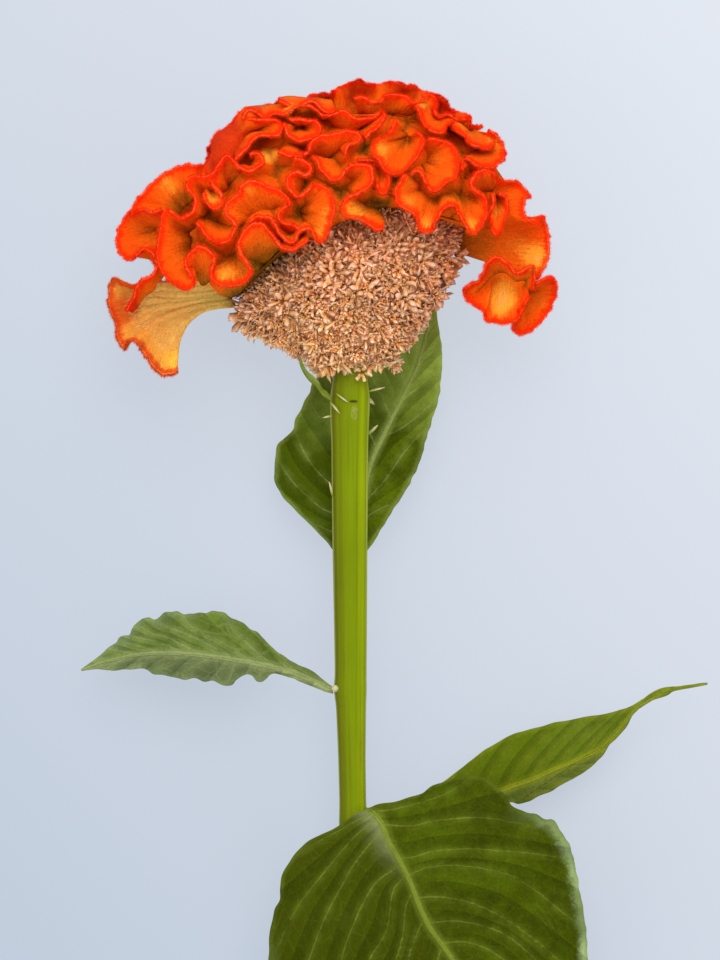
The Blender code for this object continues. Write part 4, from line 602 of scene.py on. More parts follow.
def dome_depth(p):
    x, y = p[:, 0], p[:, 1]
    r = ((x - DOME_CENTRE[0]) / DOME_RADII[0]) ** 2
    r += (np.maximum(y - DOME_CENTRE[1], 0) / DOME_RADII[1]) ** 2
    return DOME_RADII[2] * np.sqrt(np.maximum(1 - r, 0.02))


def inward(p):
    """Unit vectors from the dome's surface into the comb."""
    q = (p - DOME_CENTRE) / DOME_RADII ** 2
    q[:, 1] = np.maximum(q[:, 1], -0.004)
    return -unit(q)


def frill_grid(spec, step, rows):
    """Rows of points from the root of a frill to its lip, and the distance along the lip."""
    lip = np.array([tuple(p) + (0.0,) * (3 - len(p)) for p in spec["lip"]])
    if len(spec["lip"][0]) == 2:
        lip[:, 2] = dome_depth(lip) + spec.get("lift", 0.0)
    count = max(6, int(round(lengths(catmull(lip))[-1] / step)))
    lip = evenly(lip, count)
    if "swing" in spec:
        lip[:, 2] = spec["swing"] * np.sin(2 * math.pi * step * np.arange(count + 1) / spec["wave"])
    levels = np.linspace(0, 1, rows + 1) ** 0.8
    dish = spec.get("dish", FRILL_DISH)
    if "roots" in spec:
        keys = np.array([tuple(k) + (0.0,) * (4 - len(k)) for k in spec["roots"]])
        share = np.linspace(0, 1, count + 1)
        root = np.column_stack([np.interp(share, keys[:, 0], keys[:, k]) for k in (1, 2, 3)])
        if len(spec["roots"][0]) == 3:
            root[:, 2] = dome_depth(root) - FRILL_HEIGHT
        root = averaged(root, step, ROOT_SPREAD)
        out = [root + (lip - root) * t for t in levels]
        for t, row in zip(levels, out):
            row[:, 2] = lip[:, 2] + (root[:, 2] - lip[:, 2]) * (1 - t) ** dish
            row[:, 2] += spec.get("bulge", 0.0) * math.sin(math.pi * t)
        return np.array(out)
    soft = averaged(lip, step, FRILL_SPREAD)
    if "root" not in spec:
        into = inward(soft.copy()) * FRILL_HEIGHT
        ways = [(1 + FRILL_CROSS) * t ** FRILL_FLARE - FRILL_CROSS for t in levels]
        return np.array([soft + into * (1 - t) ** dish + (lip - soft) * way
                         for t, way in zip(levels, ways)])
    root = evenly(spec["root"], count)
    bend = np.zeros_like(root)
    if "middle" in spec:
        bend = evenly(spec["middle"], count) - 0.5 * (root + lip)
    return np.array([root * (1 - t) + lip * t + bend * 4 * t * (1 - t) for t in levels])


def turned_to_rear(grid):
    """A front frill as its own rear neighbour: mirrored in depth, shifted a little, pressed flat."""
    g = grid.copy()
    x, y = grid[..., 0], grid[..., 1]
    g[..., 0] = DOME_CENTRE[0] + (x - DOME_CENTRE[0]) * 0.95 + 1.6 * np.sin(y / 8.0)
    g[..., 1] = DOME_CENTRE[1] + (y - DOME_CENTRE[1]) * 0.95 + 1.4 * np.sin(x / 6.0)
    g[..., 2] = -np.minimum(grid[..., 2], REAR_DEPTH + 0.6 * np.sin(x / 3.0))
    return g[:, ::-1]


def crimped(grid, seed, crease=1.0):
    """The small waves and notches of a lip, dying out toward the root."""
    along = lengths(grid[-1])[None, :]
    depth = np.linalg.norm(grid[-1] - grid, axis=2)
    across = unit(np.cross(np.gradient(grid, axis=1), np.gradient(grid, axis=0)))
    fade = np.exp(-depth / CRIMP_REACH)
    side = CRIMP_SIDE * wobble(along, seed, 0.9) + 2.2 * CRIMP_SIDE * wobble(along, seed + 1, 2.6)
    rise = CRIMP_RISE * wobble(along, seed + 2, 0.7)
    up = unit(np.gradient(grid, axis=0))
    swell = crease * FACE_SWELL * wobble(along + depth * 0.3, seed + 3, 2.4)
    swell = swell * (1 - fade) * np.clip(depth / 4, 0, 1)
    return grid + across * (side * fade + swell)[..., None] + up * (rise * fade)[..., None]


def nearness(grid, x, y, radius):
    """1 in the middle of a round place on the comb's front, falling to 0 outside it and behind."""
    far = ((grid[..., 0] - x) ** 2 + (grid[..., 1] - y) ** 2) / radius ** 2
    return np.exp(-far) * (grid[..., 2] > 0)


def warmth(grid, start):
    """How far the velvet turns gold (painted highlight and light through the frill), above 0, or deep red,
    below 0, partly painted shade.
    """
    warm = np.full(grid.shape[:2], float(start))
    for x, y, radius, strength in HIGHLIGHT_AND_RED_SPOTS:
        warm += strength * nearness(grid, x, y, radius)
    return warm


def shaded(rise, grid):
    """The share of the rise that colours a grid, less in the places painted olive: painted shade in
    recesses, and the flesh's own olive-brown.
    """
    for x, y, radius, strength in SHADE_SPOTS:
        rise = rise * (1 - strength * nearness(grid, x, y, radius))
    return rise


def tones(grid, warm, low=0.0):
    """For each point: mm along the lip, mm from it, share of the rise from low on, and warmth."""
    along = np.repeat(lengths(grid[-1])[None, :], len(grid), 0)
    steps = np.linalg.norm(np.diff(grid, axis=0), axis=2)
    from_root = np.vstack([np.zeros((1, grid.shape[1])), np.cumsum(steps, axis=0)])
    whole = from_root[-1:]
    rise = shaded(low + (1 - low) * from_root / np.maximum(whole, 1e-6), grid)
    return along, whole - from_root, rise, warmth(grid, warm)


# Meshes and finishing

def deselect():
    if bpy.context.object and bpy.context.object.mode != "OBJECT":
        bpy.ops.object.mode_set(mode="OBJECT")
    bpy.ops.object.select_all(action="DESELECT")


def active(obj):
    deselect()
    obj.select_set(True)
    bpy.context.view_layer.objects.active = obj


def apply_modifiers(obj):
    active(obj)
    for mod in list(obj.modifiers):
        bpy.ops.object.modifier_apply(modifier=mod.name)


def set_uv(obj, name, u, v):
    mesh = obj.data
    layer = mesh.uv_layers.get(name) or mesh.uv_layers.new(name=name)
    corner = np.zeros(len(mesh.loops), np.int32)
    mesh.loops.foreach_get("vertex_index", corner)
    layer.data.foreach_set("uv", np.column_stack([u.ravel()[corner], v.ravel()[corner]]).ravel())


def points_of(obj):
    co = np.zeros(len(obj.data.vertices) * 3)
    obj.data.vertices.foreach_get("co", co)
    return co.reshape(-1, 3)


def move_points(obj, points):
    obj.data.vertices.foreach_set("co", np.ravel(points))


def blanket(name, grid, thickness, maps, smooth=1):
    """A closed soft sheet over a grid of plant points; thickness is in mm, a number a row or a point."""
    rows, cols = grid.shape[:2]
    deselect()
    bpy.ops.mesh.primitive_grid_add(x_subdivisions=cols - 1, y_subdivisions=rows - 1, size=1)
    obj = bpy.context.object
    obj.name = name
    move_points(obj, laid(grid))
    obj.data.uv_layers[0].name = "run"
    for layer, (u, v) in maps.items():
        set_uv(obj, layer, u, v)
    thick = np.asarray(thickness, float)
    group = obj.vertex_groups.new(name="thick")
    if thick.ndim == 1:
        for k in range(rows):
            group.add(list(range(k * cols, (k + 1) * cols)), thick[k] / thick.max(), "REPLACE")
    else:
        for k, value in enumerate(thick.ravel()):
            group.add([k], value / thick.max(), "REPLACE")
    solid = obj.modifiers.new("body", "SOLIDIFY")
    solid.thickness = thick.max() * MM
    solid.offset = 0.0
    solid.vertex_group = "thick"
    if smooth:
        sub = obj.modifiers.new("smooth", "SUBSURF")
        sub.levels = sub.render_levels = smooth
    apply_modifiers(obj)
    return obj


def joined(name, objects):
    deselect()
    for obj in objects:
        obj.select_set(True)
    bpy.context.view_layer.objects.active = objects[0]
    if len(objects) > 1:
        bpy.ops.object.join()
    obj = bpy.context.object
    obj.name = name
    obj.data.name = name
    return obj


def finished(obj, look, node):
    """The last steps that every piece shares: smooth faces, finish, body and node."""
    active(obj)
    bpy.ops.object.shade_smooth()
    obj.vertex_groups.clear()
    obj.data.materials.clear()
    obj.data.materials.append(look)
    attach(obj, "root")
    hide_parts(node)
    return obj


def raw_mesh(name, verts, faces, uvs=None):
    """An object from arrays in plant mm; uvs maps a layer's name to (u, v) a vertex."""
    mesh = bpy.data.meshes.new(name)
    mesh.from_pydata(laid(verts).tolist(), [], faces if isinstance(faces, list) else faces.tolist())
    obj = bpy.data.objects.new(name, mesh)
    bpy.context.collection.objects.link(obj)
    for layer, (u, v) in (uvs or {}).items():
        set_uv(obj, layer, u, v)
    return obj


def down(name, grids, seed, count, length, width, lip_share, lay=0.35, top=1.0):
    """Velvet hairs on many grids, each one thin triangle.

    lip_share of them stand on the lips; lay is how far the others lean toward the lip, and top is the
    highest share of the way to the lip at which they stand.
    """
    rng = np.random.default_rng(seed)
    areas = np.array([lengths(g[-1])[-1] for g, _ in grids])
    wanted = np.maximum(1, (count * areas / areas.sum()).astype(int))
    points, tips, sides, measured = [], [], [], ([], [], [], [])
    for (grid, measures), n in zip(grids, wanted):
        rows, cols = grid.shape[:2]
        on_lip = rng.random(n) < lip_share
        t = np.where(on_lip, 1 - np.abs(rng.normal(0, LIP_SCATTER, n)),
                     1 - np.abs(rng.normal(0, FACE_SCATTER, n)))
        t = np.clip(t * top, 0.05, 1)
        r = (t ** 1.25) * (rows - 1)
        c = rng.random(n) * (cols - 1)
        i, j = np.minimum(r.astype(int), rows - 2), np.minimum(c.astype(int), cols - 2)
        a, b = (r - i)[:, None], (c - j)[:, None]

        def pick(field):
            f = field[..., None] if field.ndim == 2 else field
            return ((f[i, j] * (1 - a) + f[i + 1, j] * a) * (1 - b)
                    + (f[i, j + 1] * (1 - a) + f[i + 1, j + 1] * a) * b)

        up = pick(unit(np.gradient(grid, axis=0)))
        run = pick(unit(np.gradient(grid, axis=1)))
        face = unit(np.cross(run, up)) * np.where(rng.random(n) < 0.5, 1, -1)[:, None]
        edge = np.where(on_lip, 1.0, lay)[:, None]
        half = np.where(on_lip, 0.5 * LIP_THICKNESS, 0.5 * FRILL_THICKNESS)[:, None]
        spin = rng.uniform(-HAIR_FAN, HAIR_FAN, n)[:, None]
        lean = np.where(on_lip[:, None], up * np.cos(spin) + face * np.abs(np.sin(spin)), face + up * edge)
        lean = unit(lean + rng.normal(0, HAIR_STRAY, (n, 3)))
        foot = pick(grid) + np.where(on_lip[:, None], up * -0.5 * half, face * half * 0.9)
        size = length * rng.uniform(*HAIR_LENGTHS, n)[:, None] * np.where(on_lip, 1.0, FACE_HAIR)[:, None]
        size += np.where(on_lip[:, None], half * 0.7, 0.0)
        points.append(foot)
        tips.append(foot + lean * size)
        sides.append(unit(np.cross(lean, rng.normal(0, 1, (n, 3)))) * width * 0.5)
        for store, field in zip(measured, measures):
            store.append(pick(field)[:, 0])
    p, q, s = np.vstack(points), np.vstack(tips), np.vstack(sides)
    verts = np.stack([p - s, p + s, q], axis=1).reshape(-1, 3)
    faces = np.arange(len(verts)).reshape(-1, 3)
    along, depth, rise, gold = (np.repeat(np.concatenate(store), 3) for store in measured)
    depth += HAIR_BELOW_LIP
    maps = {"run": (along * RUN_SCALE, depth * RUN_SCALE), "tone": (rise, gold)}
    return raw_mesh(name, verts, faces, maps)


# Finishes

class Wire:
    """A socket of a node tree that takes part in Python expressions."""

    def __init__(self, look, socket):
        self.look, self.socket = look, socket

    def _math(self, operation, *values):
        return self.look.node("ShaderNodeMath", dict(operation=operation), *values)

    def __add__(self, other):
        return self._math("ADD", self, other)

    def __sub__(self, other):
        return self._math("SUBTRACT", self, other)

    def __mul__(self, other):
        return self._math("MULTIPLY", self, other)

    def __truediv__(self, other):
        return self._math("DIVIDE", self, other)

    def __rsub__(self, other):
        return self._math("SUBTRACT", other, self)

    def __rtruediv__(self, other):
        return self._math("DIVIDE", other, self)

    __radd__, __rmul__ = __add__, __mul__

    def __abs__(self):
        return self._math("ABSOLUTE", self)

    def part(self):
        return self._math("FRACT", self)

    def wave(self):
        return self._math("SINE", self)

    def clip(self):
        return self.look.node("ShaderNodeClamp", {}, self)

    def step(self, low, high):
        """0 below low, 1 above high, smooth between them; low may be the larger."""
        return self.look.node("ShaderNodeMapRange", dict(interpolation_type="SMOOTHSTEP"),
                              self, low, high, 0.0, 1.0)


class Look:
    """A material being made: one shader, and the nodes that vary it."""

    def __init__(self, name, colour, **constants):
        self.material = bpy.data.materials.new(name)
        self.material.use_nodes = True
        self.tree = self.material.node_tree
        self.shader = self.tree.nodes["Principled BSDF"]
        self.shader.inputs["Base Color"].default_value = (*colour, 1)
        self.material.diffuse_color = (*colour, 1)
        for socket, value in constants.items():
            self.shader.inputs[socket.replace("_", " ")].default_value = value

    def node(self, kind, settings, *values, out=0, **named):
        """One node: its settings are made first, then its sockets get values or links."""
        made = self.tree.nodes.new(kind)
        for key, value in settings.items():
            if key == "stops":
                stops = made.color_ramp.elements
                stops.remove(stops[-1])
                stops[0].position, stops[0].color = value[0][0], (*value[0][1], 1)
                for place, colour in value[1:]:
                    stops.new(place).color = (*colour, 1)
            else:
                setattr(made, key, value)
        for key, value in [*enumerate(values), *named.items()]:
            if isinstance(value, Wire):
                self.tree.links.new(value.socket, made.inputs[key])
            elif value is not None:
                made.inputs[key].default_value = value
        return Wire(self, made.outputs[out])

    def uv(self, name):
        """The two coordinates of one of the piece's own maps."""
        vector = self.node("ShaderNodeUVMap", dict(uv_map=name))
        return [self.node("ShaderNodeSeparateXYZ", {}, vector, out=k) for k in (0, 1)]

    def place(self):
        """The piece's own coordinates, in mm."""
        at = self.node("ShaderNodeTexCoord", {}, out=3)
        return self.node("ShaderNodeVectorMath", dict(operation="SCALE"), at, Scale=1 / MM)

    def axes(self, vector):
        return [self.node("ShaderNodeSeparateXYZ", {}, vector, out=k) for k in (0, 1, 2)]

    def vector(self, x, y, z=0.0):
        return self.node("ShaderNodeCombineXYZ", {}, x, y, z)

    def noise(self, vector, scale, detail=2.0, roughness=0.55):
        """Grey noise round 0.5; scale is in waves a unit of the vector."""
        return self.node("ShaderNodeTexNoise", {}, Vector=vector, Scale=scale, Detail=detail,
                         Roughness=roughness)

    def cells(self, vector, scale, feature="F1"):
        return self.node("ShaderNodeTexVoronoi", dict(feature=feature), Vector=vector, Scale=scale)

    def ramp(self, factor, stops):
        return self.node("ShaderNodeValToRGB", dict(stops=stops), factor)

    def mix(self, factor, first, second):
        """Two colours mixed: the Mix node's colour form takes them at its sockets 6 and 7."""
        colours = [value if isinstance(value, Wire) else (*value, 1) for value in (first, second)]
        return self.node("ShaderNodeMix", dict(data_type="RGBA"), factor, *[None] * 5, *colours, out=2)

    def shade(self, colour, factor):
        """A colour made lighter or darker by a number round 1."""
        return self.node("ShaderNodeVectorMath", dict(operation="SCALE"), colour, Scale=factor)

    def finish(self, colour=None, roughness=None, height=None, relief=0.1, glow=None):
        """Links what varies; a height of 1 stands as high as relief, which is in mm."""
        bump = None
        if height is not None:
            bump = self.node("ShaderNodeBump", {}, Strength=1.0, Distance=relief * MM, Height=height)
        for socket, value in (("Base Color", colour), ("Roughness", roughness), ("Normal", bump),
                              ("Emission Color", glow)):
            if value is not None:
                self.tree.links.new(value.socket, self.shader.inputs[socket])
        return self.material


def velvet(name, settings, deep, middle):
    """The comb's velvet: a red lip with a painted highlight on its crest, a face that warms with painted
    light and darkens inward, partly its own olive and partly painted shade.
    """
    look = Look(name, settings.face, Roughness=0.85, Specular_IOR_Level=0.02)
    along, depth = look.uv("run")
    rise, gold = look.uv("tone")
    along, depth = along / RUN_SCALE, depth / RUN_SCALE
    at = look.place()
    cloud = look.noise(at, 0.11, 2.0) - 0.5
    patch = look.noise(at, 0.45, 3.0) - 0.5
    fibre = look.noise(look.vector(along * 1.9, depth * 0.22), 1.0, 3.0, 0.65) - 0.5
    fine = look.noise(look.vector(along * 3.4, depth * 0.9), 1.0, 2.0, 0.7) - 0.5
    fuzz = look.noise(at, 1.7, 3.0, 0.8) - 0.5
    lit = rise + fibre * 0.50 + cloud * 0.35 + patch * 0.30 + fuzz * 0.30
    # From the root's dark olive to the lip: partly the velvet's own colours, partly painted shade deep in
    # the folds
    base = look.ramp(lit, [(0.0, deep), (0.22, middle), (0.50, settings.face),
                           (0.90, settings.upper)])
    # Gold, and pale where it is strongest: painted highlight and painted light coming through the frill
    warm = (gold + fibre * 0.55 + patch * 0.5 + fuzz * 0.3).step(0.25, 1.05)
    base = look.mix(warm, base, settings.gold)
    pale = (gold + fibre * 0.5 + patch * 0.4).step(1.0, 1.9)
    base = look.mix(pale * 0.75, base, settings.pale)
    # Deep red where the spots are below 0: partly the comb's own red, partly painted shade in its gaps
    blush = (gold * -1.0 + fibre * 0.6 + patch * 0.7 + fuzz * 0.4).step(0.10, 0.80)
    base = look.mix(blush * 0.85, base, settings.blush)
    ragged = depth + fibre * 2.4 + patch * 2.4 + fuzz * 1.6
    band = ragged.step(settings.lip_width / MM, settings.lip_width * 0.35 / MM)
    base = look.mix(band * 0.86, base, settings.lip)
    # The pale line on the crest of each lip is a painted highlight
    ridge = (depth + fine * 0.5 + fuzz * 0.4).step(0.34, 0.10)
    base = look.mix(ridge * 0.80, base, settings.ridge)
    base = look.shade(base, 1.0 + fuzz * 0.95 + fine * 0.55 + fibre * 0.75)
    height = fibre * 1.2 + fine * 1.1 + fuzz * 1.3
    return look.finish(base, 0.75 + fuzz * 0.2, height, 0.20)


def silk_look():
    """The long pale hairs that lie along the spread flap."""
    look = Look("horn_silk", (0.84, 0.54, 0.16), Roughness=0.6, Specular_IOR_Level=0.1)
    at = look.place()
    pick = look.noise(at, 1.6, 2.0, 0.7)
    base = look.ramp(pick, [(0.36, (0.56, 0.28, 0.04)), (0.48, (0.88, 0.52, 0.13)),
                            (0.64, (1.0, 0.72, 0.28))])
    return look.finish(base)


def petal_look(settings):
    look = Look("floret_petals", settings.petal, Roughness=0.75, Specular_IOR_Level=0.05)
    rise, pick = look.uv("tone")
    at = look.place()
    x, y, _ = look.axes(at)
    patch = look.noise(at, 0.10, 2.0) - 0.5
    small = look.noise(at, 0.7, 2.0) - 0.5
    streak = look.noise(look.vector(pick * 400.0, rise * 1.2), 3.0, 2.0) - 0.5
    # Darker toward a petal's foot: partly its own darker base, partly painted shade deep in the floret
    base = look.ramp(rise + small * 0.25, [(0.0, (0.60, 0.26, 0.06)), (0.34, (0.76, 0.37, 0.13)),
                                           (0.66, settings.petal), (1.0, settings.tip)])
    cream = (y * -0.022 + pick * 0.8 + patch * 1.2 + 1.9).step(0.55, 1.15)
    base = look.mix(cream * 0.60, base, settings.cream)
    mauve = (x * 0.028 + patch * 1.4 + small * 0.7).step(-0.1, 0.75)
    base = look.mix(mauve * 0.60, base, settings.mauve)
    high = (y - PLANT_SHIFT[1]) / 50.0                  # 0 at the neck, 1 under the comb
    olive = (patch * -2.6 + small * 1.0 - pick * 0.6).step(0.05, 0.60)
    base = look.mix(olive * 0.55, base, (0.62, 0.43, 0.08))
    pink = ((pick * 3.7).part() + small * 0.5).step(0.55, 1.0)
    base = look.mix(pink * rise * 0.60, base, (0.90, 0.48, 0.34))
    orange = (pick + small * 1.6 + patch * 1.0).step(0.80, 1.10)
    base = look.mix(orange * 0.65, base, (0.86, 0.28, 0.06))
    # Warmer under the comb: painted light on the florets that lie in the comb's shade
    painted_light_under_comb = (high + patch * 0.5).step(0.45, 0.95)
    base = look.mix(painted_light_under_comb * 0.3, base, (0.90, 0.34, 0.15))
    tinge = ((pick * 7.13).part() - 0.5) * 0.55
    # Lighter toward the comb, painted light against its shadow, and darker between the clusters, painted
    # shade
    knots = look.cells(at, 0.24)
    gain = 1.11 + (high + patch * 0.2).step(0.40, 0.80) * 0.14 - knots * 0.26
    base = look.shade(base, gain * (1.0 + streak * 0.25 + small * 0.40 + tinge * 0.7))
    return look.finish(base, 0.65 + streak * 0.2, streak, 0.05)


def anther_look(settings):
    look = Look("floret_anthers", settings.anther, Roughness=0.55, Specular_IOR_Level=0.2)
    at = look.place()
    grain = look.noise(at, 2.5, 3.0) - 0.5
    pick = look.noise(at, 0.9, 2.0)
    base = look.ramp(pick, [(0.34, (0.60, 0.16, 0.03)), (0.46, settings.anther),
                            (0.56, (0.95, 0.62, 0.22)), (0.66, (0.90, 0.44, 0.24))])
    return look.finish(look.shade(base, 1.0 + grain * 0.4), 0.45 + grain * 0.2, grain, 0.08)


def bed_look():
    """What shows between the florets: short brown stalks and shadow."""
    look = Look("floret_bed", (0.50, 0.24, 0.10), Roughness=0.85, Specular_IOR_Level=0.05)
    at = look.place()
    grain = look.noise(at, 1.1, 3.0)
    knots = look.cells(at, 0.8)
    base = look.ramp(grain, [(0.3, (0.62, 0.30, 0.11)), (0.5, (0.82, 0.45, 0.20)),
                             (0.7, (0.90, 0.58, 0.34))])
    return look.finish(look.shade(base, 0.75 + knots * 0.6), 0.8 - grain * 0.1, grain - knots, 0.5)


def stem_look(settings):
    """Ribbed green stem: run holds the share round it and the distance down it."""
    look = Look("stem_skin", settings.stem, Roughness=0.6, Specular_IOR_Level=0.05)
    around, down_it = look.uv("run")
    down_it = down_it / RUN_SCALE
    side = (around * (2 * math.pi)).wave()             # -1 at the left outline, 1 at the right one
    cords = look.noise(look.vector(around * 30.0, down_it * 0.012), 1.0, 3.0, 0.6) - 0.5
    hairline = look.noise(look.vector(around * 130.0, down_it * 0.04), 1.0, 2.0, 0.6) - 0.5
    cloud = look.noise(look.place(), 0.05, 2.0) - 0.5
    # Darker on the left, lighter on the right: painted shade and painted light across the stem, with its
    # own browner stripes on the left
    base = look.ramp(0.5 + side * 0.42 + cords * 0.55, [
        (0.16, settings.stem_shade), (0.44, settings.stem), (0.62, settings.stem),
        (0.80, settings.stem_light)])
    line = (cords + hairline * 0.4).step(-0.10, -0.19)
    base = look.mix(line * 0.35, base, (0.085, 0.095, 0.0005))
    # Paler at both outlines: a painted highlight along the stem's edges
    edge = abs(side + cloud * 0.05).step(0.955, 0.995)
    base = look.mix(edge * 0.45, base, (0.42, 0.44, 0.10))
    top = (down_it + cloud * 6.0).step(12.0, 1.0)
    base = look.mix(top * 0.45, base, (0.26, 0.27, 0.012))
    rust = (look.noise(look.vector(around * 22.0, down_it * 0.03), 1.0, 3.0, 0.7)).step(0.60, 0.74)
    base = look.mix(rust * (down_it.step(20.0, 110.0)) * 0.5, base, (0.20, 0.11, 0.005))
    base = look.shade(base, 1.0 + hairline * 0.25 + cloud * 0.3)
    return look.finish(base, 0.55 + cords * 0.2, cords * 2.0 + hairline * 0.6, 0.10)


def papery_look():
    look = Look("bract_skin", (0.62, 0.50, 0.30), Roughness=0.7, Specular_IOR_Level=0.1)
    rise, pick = look.uv("tone")
    at = look.place()
    grain = look.noise(at, 1.6, 3.0) - 0.5
    base = look.ramp(rise + grain * 0.3, [(0.0, (0.20, 0.23, 0.012)), (0.30, (0.38, 0.39, 0.08)),
                                          (0.7, (0.64, 0.56, 0.34)), (1.0, (0.50, 0.32, 0.18))])
    base = look.mix(pick.step(1.5, 2.0), base, (0.07, 0.05, 0.01))
    return look.finish(look.shade(base, 0.84 + grain * 0.3), 0.6 + grain * 0.2, grain, 0.08)


def leaf_look(name, dark, light, vein, bloom_and_light, share, under, glow_up=0.0, crisp=1.0, soft=0.12, net=0.07):
    """A leaf blade, whose map run holds (across, -1 to 1; along, 0 to 1) and veins (count, mm between two).

    vein, bloom_and_light and under are the colours of the veins, of the pale rim and paler end, and of the
    shaded half. share, glow_up, crisp, soft and net say how strongly rim, paler end, veins, the glow beside
    them and the net show. The rim is partly waxy, partly painted sheen; the rear leaf's paler end is
    painted light.
    """
    look = Look(name, dark, Roughness=0.6, Specular_IOR_Level=0.02)
    across, along = look.uv("run")
    width, _ = look.uv("tone")              # half width of the blade there, mm * RUN_SCALE
    count, gap = look.uv("veins")
    at = look.place()
    reach = abs(across)
    width = width / RUN_SCALE
    mm = reach * width
    warp = look.noise(at, 0.35, 3.0) - 0.5
    cloud = look.noise(at, 0.055, 3.0) - 0.5
    patch = look.noise(at, 0.22, 3.0) - 0.5
    grain = look.noise(at, 1.3, 3.0, 0.65) - 0.5
    speck = look.noise(at, 3.2, 2.0, 0.7) - 0.5
    phase = (count + 0.5).part() - 0.5
    off = abs(phase) * gap + warp * 0.6
    side = (off + reach * 0.10).step(0.36, 0.08) * (1.0 - (reach + patch * 0.5).step(0.80, 1.0))
    glow = (off + grain * 1.2).step(2.1, 0.0)
    rib = (mm / (1.25 - along * 0.8)).step(1.0, 0.5)
    rib_glow = (mm / (2.8 - along * 1.2)).step(1.0, 0.3)
    rungs = look.cells(look.vector(phase * gap * 0.28, mm * 0.30, count * 0.5), 1.0, "DISTANCE_TO_EDGE")
    rung = (rungs + grain * 0.05).step(0.06, 0.0)
    base = look.ramp(0.5 + cloud * 1.4 + patch * 0.9 + grain * 0.6, [(0.22, dark), (0.80, light)])
    lower = (across * -1.0 + warp * 0.05).step(0.0, 0.02)
    base = look.mix(lower * 0.85, base, under)
    rim = width * (1.0 - reach)
    # Pale band along the margins toward the tip: partly the blade's waxy coat, partly painted sheen
    wax_and_sheen = (rim + cloud * 12.0 + grain * 3.0).step(3.2, 0.0) * along.step(0.30, 0.48)
    wax_and_sheen = wax_and_sheen * (across.step(-0.2, 0.2) * 0.75 + 0.25)
    base = look.mix(wax_and_sheen * share, base, bloom_and_light)
    # Paler toward the tip by glow_up: on the rear leaf painted light where it lies in the florets' shade,
    # on the right leaf its greyer tip
    base = look.mix((along + cloud * 0.6).step(0.40, 0.90) * glow_up, base, bloom_and_light)
    # A pale line along every margin: a painted highlight
    base = look.mix((rim + patch * 2.0).step(1.8, 0.0) * 0.26, base, vein)
    # Greyer on the left half near the midrib, toward the foot of the blade
    grey_by_midrib = (mm + patch * 8.0 + grain * 2.0).step(8.0, 0.5) * along.step(0.26, 0.06) * lower
    base = look.mix(grey_by_midrib * share * 0.9, base, (0.23, 0.25, 0.11))
    base = look.mix(rung * net, base, vein)
    base = look.mix(glow * (soft + patch * 0.5), base, vein)
    base = look.mix(side * (0.34 + patch * 1.1) * crisp, base, vein)
    base = look.mix(rib_glow * 0.30, base, vein)
    base = look.mix(rib * (0.74 - along * 0.22), base, vein)
    # phase makes one side of each vein darker and the other lighter: painted shade and light of the
    # puckered blade
    gain = 1.0 + grain * 0.55 + speck * 0.45 + warp * 0.2 + phase * 0.34 * reach.step(0.0, 0.25)
    base = look.shade(base, gain)
    height = side * 0.35 + rib * 0.8 - rung * 0.15 + grain * 0.5 + speck * 0.2
    return look.finish(base, 0.6 + grain * 0.2 + wax_and_sheen * 0.2, height, 0.25)


def floor_look(settings):
    # The floor glows: painted light that washes out the plant's shadows, brighter toward the comb and the
    # right
    look = Look("glowing_floor", (0.10, 0.102, 0.109), Roughness=0.9, Specular_IOR_Level=0.0,
                Emission_Strength=1.0)
    at = look.place()
    x, y, _ = look.axes(at)
    grain = look.noise(at, 0.6, 3.0) - 0.5
    fade = (x * 0.0022 + y * 0.0018 + 0.46 + grain * 0.01).clip()
    glow = look.mix(fade, settings.floor_near, settings.floor)
    return look.finish(height=grain, relief=0.05, glow=glow)


# Sizes and colours that a user would change

def colour_property(name, description, default):
    return bpy.props.FloatVectorProperty(name=name, description=description, default=default,
                                         subtype="COLOR", size=3, min=0.0, max=1.0)


def length_property(name, description, default):
    return bpy.props.FloatProperty(name=name, description=description, default=default, min=0.0,
                                   unit="LENGTH", precision=5)


def power_property(name, description, default):
    return bpy.props.FloatProperty(name=name, description=description, default=default, min=0.0,
                                   unit="POWER")


def count_property(name, description, default):
    return bpy.props.IntProperty(name=name, description=description, default=default, min=0)


class CombSettings(bpy.types.PropertyGroup):
    lip: colour_property("Lip", "Band along each lip", (0.92, 0.019, 0.0014))
    # ridge is a painted highlight on the crest of a lip
    ridge: colour_property("Ridge", "Pale line on the crest of a lip", (1.0, 0.165, 0.040))
    blush: colour_property("Blush", "Deep red places of a face", (0.54, 0.020, 0.004))
    upper: colour_property("Upper face", "Face just inside the lip", (0.87, 0.082, 0.003))
    face: colour_property("Face", "Middle of a frill", (0.86, 0.130, 0.005))
    gold: colour_property("Warm face", "Where the light comes through a frill", (0.96, 0.33, 0.024))
    pale: colour_property("Pale face", "Where the light comes through the most", (0.99, 0.42, 0.11))
    lip_width: length_property("Lip width", "How far the red of a lip runs down the face", 0.0023)
    hair_length: length_property("Down length", "Longest hair of the velvet", 0.00075)
    hair_width: length_property("Down width", "Width of a hair at its foot", 0.00011)
    hair_count: count_property("Down hairs", "Hairs on the comb", 180000)


